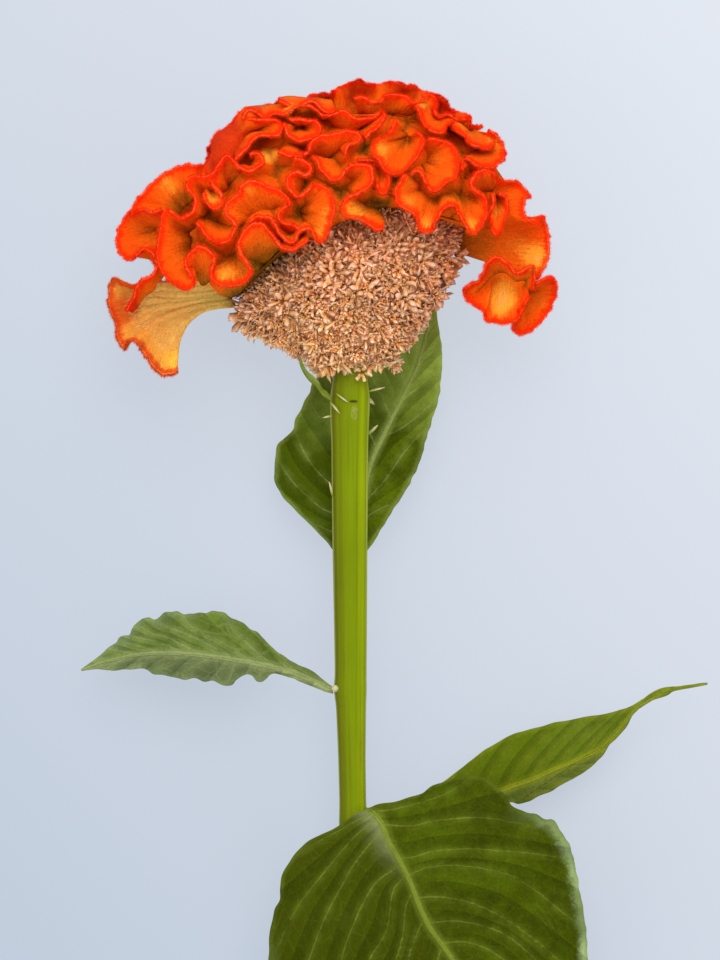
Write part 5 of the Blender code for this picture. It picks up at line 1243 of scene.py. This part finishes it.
class HornSettings(bpy.types.PropertyGroup):
    lip: colour_property("Lip", "Rim of the spread flap", (0.68, 0.045, 0.004))
    blush: colour_property("Blush", "Deep red places of the flap", (0.60, 0.065, 0.006))
    # ridge is a painted highlight on the rim
    ridge: colour_property("Ridge", "Pale line on the rim", (0.95, 0.22, 0.06))
    upper: colour_property("Upper face", "Just inside the rim", (0.78, 0.27, 0.035))
    face: colour_property("Face", "Middle of the flap", (0.96, 0.54, 0.120))
    gold: colour_property("Warm face", "Where the light comes through", (0.98, 0.50, 0.05))
    pale: colour_property("Pale face", "Where the light comes through the most", (0.98, 0.52, 0.07))
    lip_width: length_property("Lip width", "How far the red runs down the face", 0.0030)
    hair_length: length_property("Hair length", "Longest silky hair", 0.0030)
    hair_count: count_property("Silky hairs", "Long hairs that lie along the flap", 3600)


class FloretSettings(bpy.types.PropertyGroup):
    petal: colour_property("Petal", "Middle of a petal", (0.84, 0.43, 0.19))
    tip: colour_property("Tip", "Papery end of a petal", (0.95, 0.61, 0.40))
    cream: colour_property("Cream", "Petals toward the stem", (0.94, 0.68, 0.31))
    mauve: colour_property("Mauve", "Petals on the right", (0.80, 0.32, 0.18))
    anther: colour_property("Anther", "Pollen sacs", (0.92, 0.32, 0.06))
    length: length_property("Length", "A floret from foot to tip", 0.0029)
    spacing: length_property("Spacing", "Least distance between two florets", 0.00145)


class StemSettings(bpy.types.PropertyGroup):
    stem: colour_property("Skin", "Stem between its ribs", (0.146, 0.195, 0.0004))
    # stem_light is the painted light of the right side, stem_shade the painted shade of the left side with
    # its own browner stripes
    stem_light: colour_property("Ribs", "Pale crest of the ribs", (0.215, 0.27, 0.001))
    stem_shade: colour_property("Grooves", "Darker green of the grooves", (0.108, 0.118, 0.0008))


class LeafSettings(bpy.types.PropertyGroup):
    front: colour_property("Front leaf", "Deep green of the front leaf", (0.034, 0.044, 0.0003))
    left: colour_property("Left leaf", "Grey green of the left leaf", (0.058, 0.088, 0.010))
    right: colour_property("Right leaf", "Soft green of the right leaf", (0.058, 0.075, 0.008))
    upper: colour_property("Rear leaf", "Mid green of the leaf behind the stem", (0.045, 0.064, 0.0008))
    thickness: length_property("Blade", "Thickness of a leaf's blade", 0.0006)


class StageSettings(bpy.types.PropertyGroup):
    # floor and floor_near are the floor's painted glow at its two ends
    floor: colour_property("Floor", "Glow toward the comb", (0.63, 0.663, 0.721))
    floor_near: colour_property("Floor, near end", "Glow toward the cut end", (0.37, 0.438, 0.531))
    distance: length_property("Camera distance", "Lens to the plant", 1.6)
    key: power_property("Key light", "Power of the large light", 31.0)
    fill: power_property("Fill light", "Power of the side light", 5.0)


GROUPS = {"cockscomb_comb": CombSettings, "cockscomb_horn": HornSettings,
          "cockscomb_florets": FloretSettings, "cockscomb_stem": StemSettings,
          "cockscomb_leaves": LeafSettings, "cockscomb_stage": StageSettings}
COMB_GRIDS, HORN_GRIDS = [], []        # what the down grows on, filled by the frills


# The pieces

def on_table(obj):
    """Presses what would reach through the table flat against it."""
    points = points_of(obj)
    points[:, 2] = np.maximum(points[:, 2], TABLE_CLEARANCE)
    move_points(obj, points)
    obj.data.update()


def frill_blanket(name, grid, seed, warm=0.0, low=0.0, crease=1.0):
    """A frill from its grid, and what its down needs: the crimped grid and its measures."""
    grid = crimped(grid, seed, crease)
    thick = FRILL_THICKNESS + (LIP_THICKNESS - FRILL_THICKNESS) * np.linspace(0, 1, len(grid)) ** 6
    thick[-1] = LIP_TOP
    along, depth, rise, gold = measures = tones(grid, warm, low)
    maps = {"run": (along * RUN_SCALE, depth * RUN_SCALE), "tone": (rise, gold)}
    return blanket(name, grid, thick, maps), (grid, measures)


def mass_mesh(name, outline, depth, segments, rings, centre):
    """A cushion over a plan outline from a sphere; in plant mm."""
    around = evenly(outline + outline[:1], segments)[:-1]
    deselect()
    bpy.ops.mesh.primitive_uv_sphere_add(segments=segments, ring_count=rings, radius=1)
    obj = bpy.context.object
    obj.name = name
    round_one = points_of(obj)
    whole = 2 * math.pi
    angles = np.unwrap(np.arctan2(around[:, 1] - centre[1], around[:, 0] - centre[0])) % whole
    radii = np.linalg.norm(around - np.array(centre), axis=1)
    turn = np.arctan2(round_one[:, 1], round_one[:, 0])
    order = np.argsort(angles)
    radius = np.interp(turn % whole, angles[order], radii[order], period=whole)
    level = np.linalg.norm(round_one[:, :2], axis=1)
    move_points(obj, np.column_stack([centre[0] + radius * level * np.cos(turn),
                                      centre[1] + radius * level * np.sin(turn), depth * round_one[:, 2]]))
    return obj


class PlaceCore(bpy.types.Operator):
    """The deep flesh between the frills: a cushion whose front falls away from every lip"""
    bl_idname = "cockscomb.core"
    bl_label = "Comb core"

    def execute(self, context):
        core = mass_mesh("comb_flesh", CORE_OUTLINE, CORE_DEPTH, CORE_SEGMENTS, CORE_RINGS, CORE_CENTRE)
        points = points_of(core)
        lips, along = [], []
        for spec in FRILLS.values():
            if len(spec["lip"][0]) == 2:
                lip = evenly(spec["lip"], int(lengths(catmull(spec["lip"]))[-1] / FLESH_STEP))
                lips.append(lip)
                along.append(lengths(lip))
        lips, along = np.vstack(lips), np.concatenate(along)
        gap, run = np.zeros(len(points)), np.zeros(len(points))
        for k, p in enumerate(points):
            far = np.sum((lips - p[:2]) ** 2, axis=1)
            near = np.argmin(far)
            gap[k], run[k] = math.sqrt(far[near]), along[near]
        fall = FLESH_NEAR + (FLESH_FAR - FLESH_NEAR) * (1 - np.exp(-(gap / FLESH_REACH) ** 1.3))
        for x, y, radius, height in FLESH_RISES:
            fall -= height * np.exp(-((points[:, 0] - x) ** 2 + (points[:, 1] - y) ** 2) / radius ** 2)
        fall += 0.15 * wobble(run + 0.3 * gap, 71, 1.5) * np.clip(gap / 3, 0, 1)
        level = np.clip(1 - (points[:, 2] / CORE_DEPTH) ** 2, 0, 1)
        front = points[:, 2] > 0
        relief = (dome_depth(points) - fall) * np.sqrt(1 - level ** 3)
        points[front, 2] = relief[front]
        move_points(core, laid(points))
        core.data.uv_layers[0].name = "run"
        set_uv(core, "run", run * RUN_SCALE, (gap * 0.7 + FLESH_RUN_DEPTH) * RUN_SCALE)
        # Darker away from the lips: partly the flesh's own olive, partly painted shade deep between the
        # frills
        rise = shaded(np.where(front, 0.10 + 0.75 * np.exp(-(gap / 3.0) ** 1.5), 0.0), points)
        set_uv(core, "tone", rise, warmth(points[None], -0.1)[0])
        on_table(core)
        look = velvet("comb_flesh", context.scene.cockscomb_comb, *FLESH_TONES)
        finished(core, look, "comb")
        return {"FINISHED"}


class PlaceFrills(bpy.types.Operator):
    """The folded velvet of the comb, front and rear"""
    bl_idname = "cockscomb.frills"
    bl_label = "Comb frills"

    def execute(self, context):
        scene = context.scene
        look = velvet("comb_velvet", scene.cockscomb_comb, *VELVET_TONES)
        horn_look = velvet("horn_velvet", scene.cockscomb_horn, *HORN_TONES)
        COMB_GRIDS.clear()
        HORN_GRIDS.clear()
        grids, rear = {}, []
        for seed, (name, spec) in enumerate(FRILLS.items()):
            grids[name] = (frill_grid(spec, LIP_STEP, FRILL_ROWS), 10 * seed)
            if spec.get("rear"):
                grid = turned_to_rear(frill_grid(spec, REAR_STEP, REAR_ROWS))
                rear.append(frill_blanket(name + "_rear", grid, REAR_SEED + 10 * seed)[0])
        for piece, names in FRILL_PIECES.items():
            made = []
            for name in names:
                grid, seed = grids[name]
                spec = FRILLS[name]
                obj, store = frill_blanket(name, grid, seed, low=spec.get("low", 0.0),
                                           crease=spec.get("crease", 1.0))
                made.append(obj)
                COMB_GRIDS.append(store)
            if piece == "comb_frills_rear":
                made += rear
            whole = joined(piece, made)
            on_table(whole)
            finished(whole, look, "comb")
        grid, seed = grids["horn"]
        horn, store = frill_blanket("comb_horn", grid, seed, warm=0.1, low=0.1)
        HORN_GRIDS.append(store)
        finished(horn, horn_look, "comb")
        return {"FINISHED"}


class PlaceDown(bpy.types.Operator):
    """The short hairs of the velvet and the silky ones of the spread flap"""
    bl_idname = "cockscomb.down"
    bl_label = "Comb down"

    def execute(self, context):
        if not COMB_GRIDS:
            raise RuntimeError("make the frills before their down")
        comb, horn = context.scene.cockscomb_comb, context.scene.cockscomb_horn
        length, width = comb.hair_length / MM, comb.hair_width / MM
        fuzz = down("comb_down", COMB_GRIDS, 5, comb.hair_count, length, width, lip_share=0.6, lay=0.8)
        on_table(fuzz)
        finished(fuzz, bpy.data.materials["comb_velvet"], "comb")
        fringe = down("comb_horn_down", HORN_GRIDS, 6, HORN_DOWN_COUNT, length, width, lip_share=0.8)
        finished(fringe, bpy.data.materials["horn_velvet"], "comb")
        silk = down("comb_horn_silk", HORN_GRIDS, 7, horn.hair_count, horn.hair_length / MM, width,
                    lip_share=0.0, lay=4.0, top=0.8)
        on_table(silk)
        finished(silk, silk_look(), "comb")
        return {"FINISHED"}


def floret_feet(tree, spacing, rng):
    """Places of florets over the bed: foot and outward direction, no two nearer than the spacing."""
    feet, outs = np.zeros((0, 3)), []
    centre = Vector((MASS_CENTRE[0], MASS_CENTRE[1], 0))
    for _ in range(FLORET_TRIES):
        ray = Vector((rng.gauss(0, 1), rng.gauss(0, 1), rng.gauss(0, 1))).normalized()
        hit, out, _, _ = tree.ray_cast(centre, ray)
        if hit is None or hit.y > FLORET_LINE[0] + FLORET_LINE[1] * hit.x or hit.y < FLORET_FLOOR:
            continue
        room = spacing * (REAR_SPACING if hit.z < REAR_LEVEL else 1.0)
        if len(feet) and np.min(np.sum((feet - np.array(hit)) ** 2, axis=1)) < room ** 2:
            continue
        feet = np.vstack([feet, np.array(hit)[None]])
        outs.append(np.array(out))
    return feet, np.array(outs)


class PlaceFlorets(bpy.types.Operator):
    """The mass of small papery flowers under the comb"""
    bl_idname = "cockscomb.florets"
    bl_label = "Florets"

    def execute(self, context):
        settings = context.scene.cockscomb_florets
        rng = random.Random(FLORET_SEED)
        outline = [(x, max(y, BED_FLOOR)) for x, y in MASS_OUTLINE]
        bed = mass_mesh("floret_bed", outline, MASS_DEPTH - BED_INSET, *BED_MESH, MASS_CENTRE)
        tree = BVHTree.FromObject(bed, context.evaluated_depsgraph_get())
        feet, outs = floret_feet(tree, settings.spacing / MM, rng)
        move_points(bed, laid(points_of(bed)))
        finished(bed, bed_look(), "florets")
        lumps = 0.5 * (wobble(feet[:, 0] + 0.3 * feet[:, 1], 21, 1.1)
                       + wobble(feet[:, 1] - 0.3 * feet[:, 0], 22, 1.1))
        feet = feet + outs * (FLORET_LUMP * lumps)[:, None]
        heads = [(foot, out, 0.0) for foot, out in zip(feet, outs)] + NECK_FLORETS
        petals, anthers = [], []
        for foot, out, own_length in heads:
            foot, out = Vector(foot), Vector(out).normalized()
            edge = max(0.0, 1 - 1.6 * abs(out.z))       # 1 where the floret points along the table
            size = settings.length / MM * rng.uniform(*FLORET_LENGTHS) * (1 + 0.3 * edge * rng.random())
            if foot.x < RAGGED_CORNER[0] and foot.y < RAGGED_CORNER[1]:
                size *= 1 + 0.8 * edge * rng.random()
            size *= 1 - 0.25 * max(0.0, -out.y) * (foot.y < NECK_TOP)
            size = own_length or size
            spray = 0.08 if own_length else 0.30
            stray = Vector((rng.gauss(0, spray), rng.gauss(-0.1, spray), rng.gauss(0, spray)))
            out = (out + stray).normalized()
            side = out.orthogonal().normalized()
            side.rotate(Matrix.Rotation(rng.uniform(0, 6.28), 3, out))
            opening = rng.uniform(0.35, 1.0) + 0.4 * rng.random() * max(0.0, out.z)
            tint = rng.random()
            for k in range(PETALS):
                way = side.copy()
                way.rotate(Matrix.Rotation(2 * math.pi * (k + rng.uniform(-0.16, 0.16)) / PETALS, 3, out))
                wide = out.cross(way)
                petals.append((foot, out, way, wide, size * rng.uniform(0.85, 1.08),
                               opening * rng.uniform(0.7, 1.3), 0.98 * tint + 0.02 * rng.random()))
            for k in range(4 + int(3 * tint)):
                way = side.copy()
                way.rotate(Matrix.Rotation(rng.uniform(0, 6.28), 3, out))
                at = foot + out * size * rng.uniform(0.60, 0.98) + way * rng.uniform(0.1, 1.2)
                anthers.append((at, out, rng.uniform(0.18, 0.36)))
        finished(self.petal_mesh(petals), petal_look(settings), "florets")
        finished(self.anther_mesh(anthers), anther_look(settings), "florets")
        return {"FINISHED"}

    @staticmethod
    def petal_mesh(petals):
        """Each petal is a keeled blade closed all round: a foot, two cross sections and a tip."""
        foot, out, way, wide = (np.array([tuple(p[k]) for p in petals]) for k in range(4))
        size, opening, tint = (np.array([p[k] for p in petals]) for k in (4, 5, 6))
        size, opening = size[:, None], opening[:, None]
        rng = np.random.default_rng(PETAL_SEED)
        half = size * rng.uniform(0.15, 0.27, (len(petals), 1))
        curl = np.repeat(rng.uniform(0.7, 1.3, len(petals) // PETALS), PETALS)[:, None]
        rings, rises = [], []
        for share, spread, width, thick in PETAL_SECTIONS:
            middle = foot + out * size * share + way * size * (0.05 + opening * spread)
            rings += [middle + wide * half * width, middle + way * (thick * 2.2),
                      middle - wide * half * width, middle - way * thick]
            rises += [share] * 4
        low = foot - out * 0.5
        high = foot + out * size + way * size * (0.05 + opening * curl)
        verts = np.stack(rings + [low, high], axis=1)
        tris = []
        for j in range(4):
            n = (j + 1) % 4
            tris += [(8, n, j), (j, n, 4 + n), (j, 4 + n, 4 + j), (4 + j, 4 + n, 9)]
        faces = repeated(tris, len(petals), PETAL_CORNERS)
        rise = np.tile(np.array(rises + [0.0, 1.0]), len(petals))
        obj = raw_mesh("floret_petals", verts.reshape(-1, 3), faces,
                       {"run": (np.zeros_like(rise), rise), "tone": (rise, np.repeat(tint, PETAL_CORNERS))})
        outward(obj)
        return obj

    @staticmethod
    def anther_mesh(anthers):
        """Each pollen sac is a small long eight-sided bead."""
        at, out = (np.array([tuple(p[k]) for p in anthers]) for k in range(2))
        size = np.array([p[2] for p in anthers])[:, None]
        side = unit(np.cross(out, (0.3, 0.5, 0.8)))
        other = np.cross(out, side)
        verts = np.stack([at + side * size, at + other * size, at - side * size, at - other * size,
                          at - out * size * 1.4, at + out * size * 1.6], axis=1)
        tris = []
        for j in range(4):
            tris += [(j, (j + 1) % 4, 5), ((j + 1) % 4, j, 4)]
        obj = raw_mesh("floret_anthers", verts.reshape(-1, 3), repeated(tris, len(anthers), SAC_CORNERS))
        outward(obj)
        return obj


def repeated(tris, count, corners):
    """The triangles of one small shape as those of count shapes, whose corners follow each other."""
    return (np.arange(count)[:, None, None] * corners + np.array(tris)[None]).reshape(-1, 3)


def outward(obj):
    """Turns every face outward."""
    active(obj)
    bpy.ops.object.mode_set(mode="EDIT")
    bpy.ops.mesh.select_all(action="SELECT")
    bpy.ops.mesh.normals_make_consistent(inside=False)
    bpy.ops.object.mode_set(mode="OBJECT")


def tube(name, rings, spans):
    """A closed tube through rings of points; run holds the share round it and, scaled, the mm down it."""
    rows, sides = rings.shape[:2]
    verts = np.vstack([rings.reshape(-1, 3), rings[0].mean(0)[None], rings[-1].mean(0)[None]])
    top, end = rows * sides, rows * sides + 1
    faces, u, v, cut = [], [], [], []
    for i in range(rows - 1):
        for j in range(sides):
            n = (j + 1) % sides
            faces.append((i * sides + j, i * sides + n, (i + 1) * sides + n, (i + 1) * sides + j))
            u += [j / sides, (j + 1) / sides, (j + 1) / sides, j / sides]
            v += [spans[i], spans[i], spans[i + 1], spans[i + 1]]
            cut += [0.0] * 4
    for j in range(sides):
        n = (j + 1) % sides
        faces += [(n, j, top), ((rows - 1) * sides + j, (rows - 1) * sides + n, end)]
        u += [(j + 1) / sides, j / sides, 0.5] * 2
        v += [spans[0]] * 3 + [spans[-1]] * 3
        cut += [0.0] * 3 + [0.5, 0.5, 1.0]
    obj = raw_mesh(name, verts, faces)
    for layer, pair in (("run", (u, np.array(v) * RUN_SCALE)), ("tone", (cut, u))):
        obj.data.uv_layers.new(name=layer).data.foreach_set("uv", np.column_stack(pair).ravel())
    outward(obj)
    return obj


def bract(name, foot, tip, half, lift, seed):
    """A small pointed bract from its foot to its tip, bowed outward."""
    rows, columns = BRACT_MESH
    foot, tip = np.array(foot, float), np.array(tip, float)
    s = np.linspace(0, 1, rows + 1)[:, None]
    run = unit(tip - foot)
    side = unit(np.cross(run, (0, 0, 1)))
    out = np.cross(side, run)
    out *= 1 if out[2] > 0 else -1
    middle = foot + (tip - foot) * s + out * lift * np.sin(math.pi * s)
    width = half * (np.sin(math.pi * np.clip(0.18 + 0.82 * s, 0, 1)) ** 0.8 + 0.02)
    f = np.linspace(-1, 1, 2 * columns + 1)
    grid = np.array([middle + side * width * k + out * 0.35 * half * k * k for k in f])
    grid[..., 2] += 0.08 * wobble(lengths(middle)[None, :] + f[:, None] * 2, seed, 0.8)
    rise = np.repeat(s[:, 0][None, :], len(f), 0)
    zero = np.zeros_like(rise)
    maps = {"run": (zero, zero), "tone": (rise, zero)}
    return blanket(name, grid, [BRACT_THICKNESS] * len(grid), maps)


class PlaceStem(bpy.types.Operator):
    """The ribbed stem, its cut end and the papery bracts at its neck"""
    bl_idname = "cockscomb.stem"
    bl_label = "Stem"

    def execute(self, context):
        settings = context.scene.cockscomb_stem
        rows, sides = STEM_MESH
        table = np.array(STEM_SECTIONS)
        y = np.linspace(table[0, 0] + STEM_INTO_HEAD, table[-1, 0], rows)
        soft = np.hanning(STEM_SOFTENING) / np.hanning(STEM_SOFTENING).sum()
        width, depth, axis = (
            np.convolve(np.pad(np.interp(-y, -table[:, 0], table[:, k]), STEM_SOFTENING // 2, mode="edge"),
                        soft, "valid") for k in (1, 2, 3))
        angle = np.linspace(-math.pi / 2, 1.5 * math.pi, sides, endpoint=False)
        rib = 1 + STEM_RIB_DEPTH * (np.cos(2 * STEM_RIBS * angle) - 1) * 0.5
        bend = 0.12 * wobble(y, 3, 22.0)
        rings = np.stack([(axis + bend)[:, None] + width[:, None] * rib * np.cos(angle),
                          np.repeat(y[:, None], sides, 1), depth[:, None] * rib * np.sin(angle)], axis=2)
        stem = tube("stem_skin", rings, y[0] - y)
        bumps = []
        for spot, size, rise, dark in STEM_KNOTS:
            deselect()
            bpy.ops.mesh.primitive_uv_sphere_add(segments=KNOT_MESH[0], ring_count=KNOT_MESH[1], radius=1)
            knot = context.object
            knot.data.uv_layers[0].name = "run"
            move_points(knot, laid(points_of(knot) * size + spot))
            full = np.ones(len(knot.data.vertices))
            set_uv(knot, "tone", rise * full, dark * full)
            bumps.append(knot)
        on_table(stem)
        finished(stem, stem_look(settings), "stem")
        papers = [bract(f"bract_{k}", foot, tip, 0.6 * half, 0.3 * half, k)
                  for k, (foot, tip, half) in enumerate(BRACTS)]
        bracts = joined("stem_bracts", papers + bumps)
        finished(bracts, papery_look(), "stem")
        return {"FINISHED"}


def signed_distance(points, vein):
    """Distance of points (x, y) from a vein drawn out past both its ends; the sign tells the side."""
    line = evenly(vein, 24)
    before = line[0] - unit(line[1] - line[0]) * VEIN_REACH[0]
    beyond = line[-1] + unit(line[-1] - line[-2]) * VEIN_REACH[1]
    line = np.vstack([before, line, beyond])
    best, sign = np.full(len(points), 1e9), np.ones(len(points))
    for a, b in zip(line[:-1], line[1:]):
        d, q = b - a, points - a
        t = np.clip((q @ d) / (d @ d), 0, 1)
        far = np.linalg.norm(q - t[:, None] * d, axis=1)
        closer = far < best - 1e-9
        best = np.where(closer, far, best)
        sign = np.where(closer, np.sign(d[0] * q[:, 1] - d[1] * q[:, 0]), sign)
    return best * sign


def vein_count(points, veins, mid):
    """Where each point lies in the row of veins, a whole number on a vein, and the mm between two there."""
    if not veins:
        return np.zeros(len(points)), np.full(len(points), VEIN_GAP)
    toward_tip = np.sign(signed_distance(np.array([mid[-1][:2]], float), veins[0])[0])
    s = np.array([signed_distance(points, vein) * toward_tip for vein in veins])
    count, gap = s[0] / VEIN_GAP, np.full(len(points), VEIN_GAP)
    for k in range(len(veins)):
        past = s[k] >= 0
        if k + 1 < len(veins):
            between = np.maximum(s[k] - np.minimum(s[k + 1], 0), 0.3)
            count = np.where(past, k + np.clip(s[k] / between, 0, 1), count)
        else:
            between = np.full(len(points), VEIN_GAP)
            count = np.where(past, k + s[k] / VEIN_GAP, count)
        gap = np.where(past, between, gap)
    return count, gap


def leaf_grid(spec, stations, columns):
    """Rows across a leaf from its left margin over the midrib to its right one, and its maps."""
    left, mid, right = (evenly(spec[k], stations) for k in ("left", "mid", "right"))
    s = np.linspace(0, 1, stations + 1)
    calm = np.sin(math.pi * np.clip(s * 1.02, 0, 1)) ** 0.7
    rows, counts, gaps, widths, shares = [], [], [], [], []
    for k in range(-columns, columns + 1):
        f = (abs(k) / columns) ** 1.1                   # 0 on the midrib, 1 at the margin
        edge, veins, phase = (left, "veins_left", 0.0) if k < 0 else (right, "veins_right", 1.7)
        row = mid * (1 - f) + edge * f
        teeth = spec.get("teeth", LEAF_TEETH) * wobble(lengths(edge), 31 if k < 0 else 32, 0.9) * calm
        row = row + unit(edge - mid) * (f ** 3 * teeth)[:, None]
        half = np.linalg.norm(edge - mid, axis=1)
        count, gap = vein_count(row[:, :2], spec.get(veins), spec["mid"])
        near = 0.5 - 0.5 * np.cos(2 * math.pi * ((count + 0.5) % 1.0 - 0.5))      # 0 on a vein
        wave = np.sin(2 * math.pi * spec["waves"] * s + phase) * calm
        row[:, 2] += spec["ripple"] * f ** 2 * wave + 0.25 * math.sin(math.pi * f) * calm
        swell = math.sin(math.pi * min(1, f * 1.15) ** 0.8)
        pucker = spec.get("pucker", LEAF_PUCKER) * (near - 0.5) * swell * calm
        row[:, 2] += pucker * np.clip((gap - 1) / 6, 0, 1)
        row[:, 2] += 0.18 * calm * f * wobble(s * 100 + 3 * f, 8 if k < 0 else 9, 5.0)
        row[:, 2] -= 0.3 * np.exp(-(half * f / 1.2) ** 2) * calm * (1 - s) ** 0.5
        rows.append(row)
        counts.append(count)
        gaps.append(gap)
        widths.append(half)
        shares.append(np.full(stations + 1, math.copysign(f, k)))
    return np.array(rows), {"run": (np.array(shares), np.repeat(s[None], len(rows), 0)),
                            "tone": (np.array(widths) * RUN_SCALE, np.zeros((len(rows), stations + 1))),
                            "veins": (np.array(counts), np.array(gaps))}


class PlaceLeaves(bpy.types.Operator):
    """The four blades and the small leaflet at the neck"""
    bl_idname = "cockscomb.leaves"
    bl_label = "Leaves"

    def execute(self, context):
        settings = context.scene.cockscomb_leaves
        front = leaf_look("leaf_front_blade", settings.front, (0.050, 0.072, 0.0006), (0.17, 0.21, 0.022),
                          (0.34, 0.44, 0.190), 0.70, settings.front)
        left = leaf_look("leaf_left_blade", settings.left, (0.100, 0.140, 0.020), (0.24, 0.28, 0.10),
                         (0.16, 0.20, 0.10), 0.35, (0.095, 0.115, 0.045), crisp=0.8, soft=0.20, net=0.22)
        right = leaf_look("leaf_right_blade", settings.right, (0.088, 0.108, 0.016), (0.22, 0.24, 0.010),
                          (0.13, 0.19, 0.060), 0.10, (0.076, 0.108, 0.0006), glow_up=0.12, crisp=0.25,
                          net=0.0)
        # glow_up paints light on the rear leaf's upper part, which lies in the florets' shade
        behind = leaf_look("leaf_behind_blade", settings.upper, (0.080, 0.112, 0.0015), (0.34, 0.41, 0.10),
                           (0.34, 0.46, 0.070), 0.0, (0.040, 0.060, 0.0005), glow_up=0.75, crisp=0.65,
                           soft=0.06, net=0.0)
        looks = {"leaf_front": (front, "dark_leaf"), "leaf_left": (left, "pale_leaf"),
                 "leaf_right": (right, "upper_leaf"), "neck_leaflet": (front, "upper_leaf"),
                 "leaf_behind": (behind, "upper_leaf")}
        blade_mm = settings.thickness / MM
        for name, spec in LEAVES.items():
            small = name == "neck_leaflet"
            grid, maps = leaf_grid(spec, *(LEAFLET_MESH if small else LEAF_MESH))
            across, along = maps["run"]
            near = np.exp(-(maps["tone"][0] / RUN_SCALE * np.abs(across)) ** 2)
            ridge = MIDRIB_HEIGHTS.get(name, MIDRIB_HEIGHT)
            thick = blade_mm * (0.45 if small else 1.0) + ridge * near * (1 - along) ** 1.3
            obj = blanket(name + "_blade", grid, thick, maps, smooth=0)
            on_table(obj)
            look, slot = looks[name]
            finished(obj, look, name)
        return {"FINISHED"}


class PlaceStage(bpy.types.Operator):
    """The pale floor, the soft lights and the camera that looks down on the plant"""
    bl_idname = "cockscomb.stage"
    bl_label = "Stage"

    def execute(self, context):
        scene, settings = context.scene, context.scene.cockscomb_stage
        deselect()
        bpy.ops.mesh.primitive_plane_add(size=FLOOR_SIZE, location=(0, 0, 0))
        floor = context.object
        floor.name = "floor"
        floor.data.materials.append(floor_look(settings))
        x, y, z = (laid_direction(v) for v in ((1, 0, 0), (0, 1, 0), (0, 0, 1)))
        aim = Vector(laid((FRAME_CENTRE[0], FRAME_CENTRE[1], 0)))
        camera = bpy.data.objects.new("camera", bpy.data.cameras.new("camera"))
        scene.collection.objects.link(camera)
        camera.data.sensor_width = SENSOR
        camera.data.lens = SENSOR * settings.distance / (FRAME_HEIGHT * MM)
        camera.data.clip_start, camera.data.clip_end = 0.05, 20
        camera.location = aim + z * settings.distance
        camera.rotation_euler = Matrix((x, y, z)).transposed().to_euler()
        scene.camera = camera
        powers = {"key": settings.key, "fill": settings.fill, "low": settings.fill * LOW_POWER}
        for name, (way, size, colour) in LAMPS.items():
            lamp = bpy.data.lights.new(name, "AREA")
            lamp.energy, lamp.size, lamp.color = powers[name], size, colour
            light = bpy.data.objects.new(name, lamp)
            scene.collection.objects.link(light)
            light.location = aim + x * way[0] + y * way[1] + z * way[2]
            light.rotation_euler = (aim - light.location).to_track_quat("-Z", "Y").to_euler()
        world = bpy.data.worlds.new("soft_room")
        world.use_nodes = True
        for socket, value in zip(world.node_tree.nodes["Background"].inputs, ROOM_LIGHT):
            socket.default_value = value
        scene.world = world
        scene.view_settings.view_transform = "Standard"
        return {"FINISHED"}


class CockscombPanel(bpy.types.Panel):
    """Sizes, colours and makers of the plant's pieces"""
    bl_idname = "VIEW3D_PT_cockscomb"
    bl_label = "Cockscomb flower"
    bl_space_type = "VIEW_3D"
    bl_region_type = "UI"
    bl_category = "Cockscomb"

    def draw(self, context):
        for group, kind in GROUPS.items():
            box = self.layout.box()
            box.label(text=group.split("_")[1].capitalize())
            for field in kind.__annotations__:
                box.prop(getattr(context.scene, group), field)
        for operator in PIECES:
            self.layout.operator(operator.bl_idname)


PIECES = (PlaceStage, PlaceCore, PlaceFrills, PlaceDown, PlaceFlorets, PlaceStem, PlaceLeaves)
CLASSES = tuple(GROUPS.values()) + PIECES + (CockscombPanel,)


def register():
    for kind in CLASSES:
        bpy.utils.register_class(kind)
    for group, kind in GROUPS.items():
        setattr(bpy.types.Scene, group, bpy.props.PointerProperty(type=kind))


def unregister():
    for group in GROUPS:
        delattr(bpy.types.Scene, group)
    for kind in reversed(CLASSES):
        bpy.utils.unregister_class(kind)


def main():
    register()
    for maker in ("stage", "core", "frills", "down", "florets", "stem", "leaves"):
        getattr(bpy.ops.cockscomb, maker)()


if __name__ == "__main__":
    main()
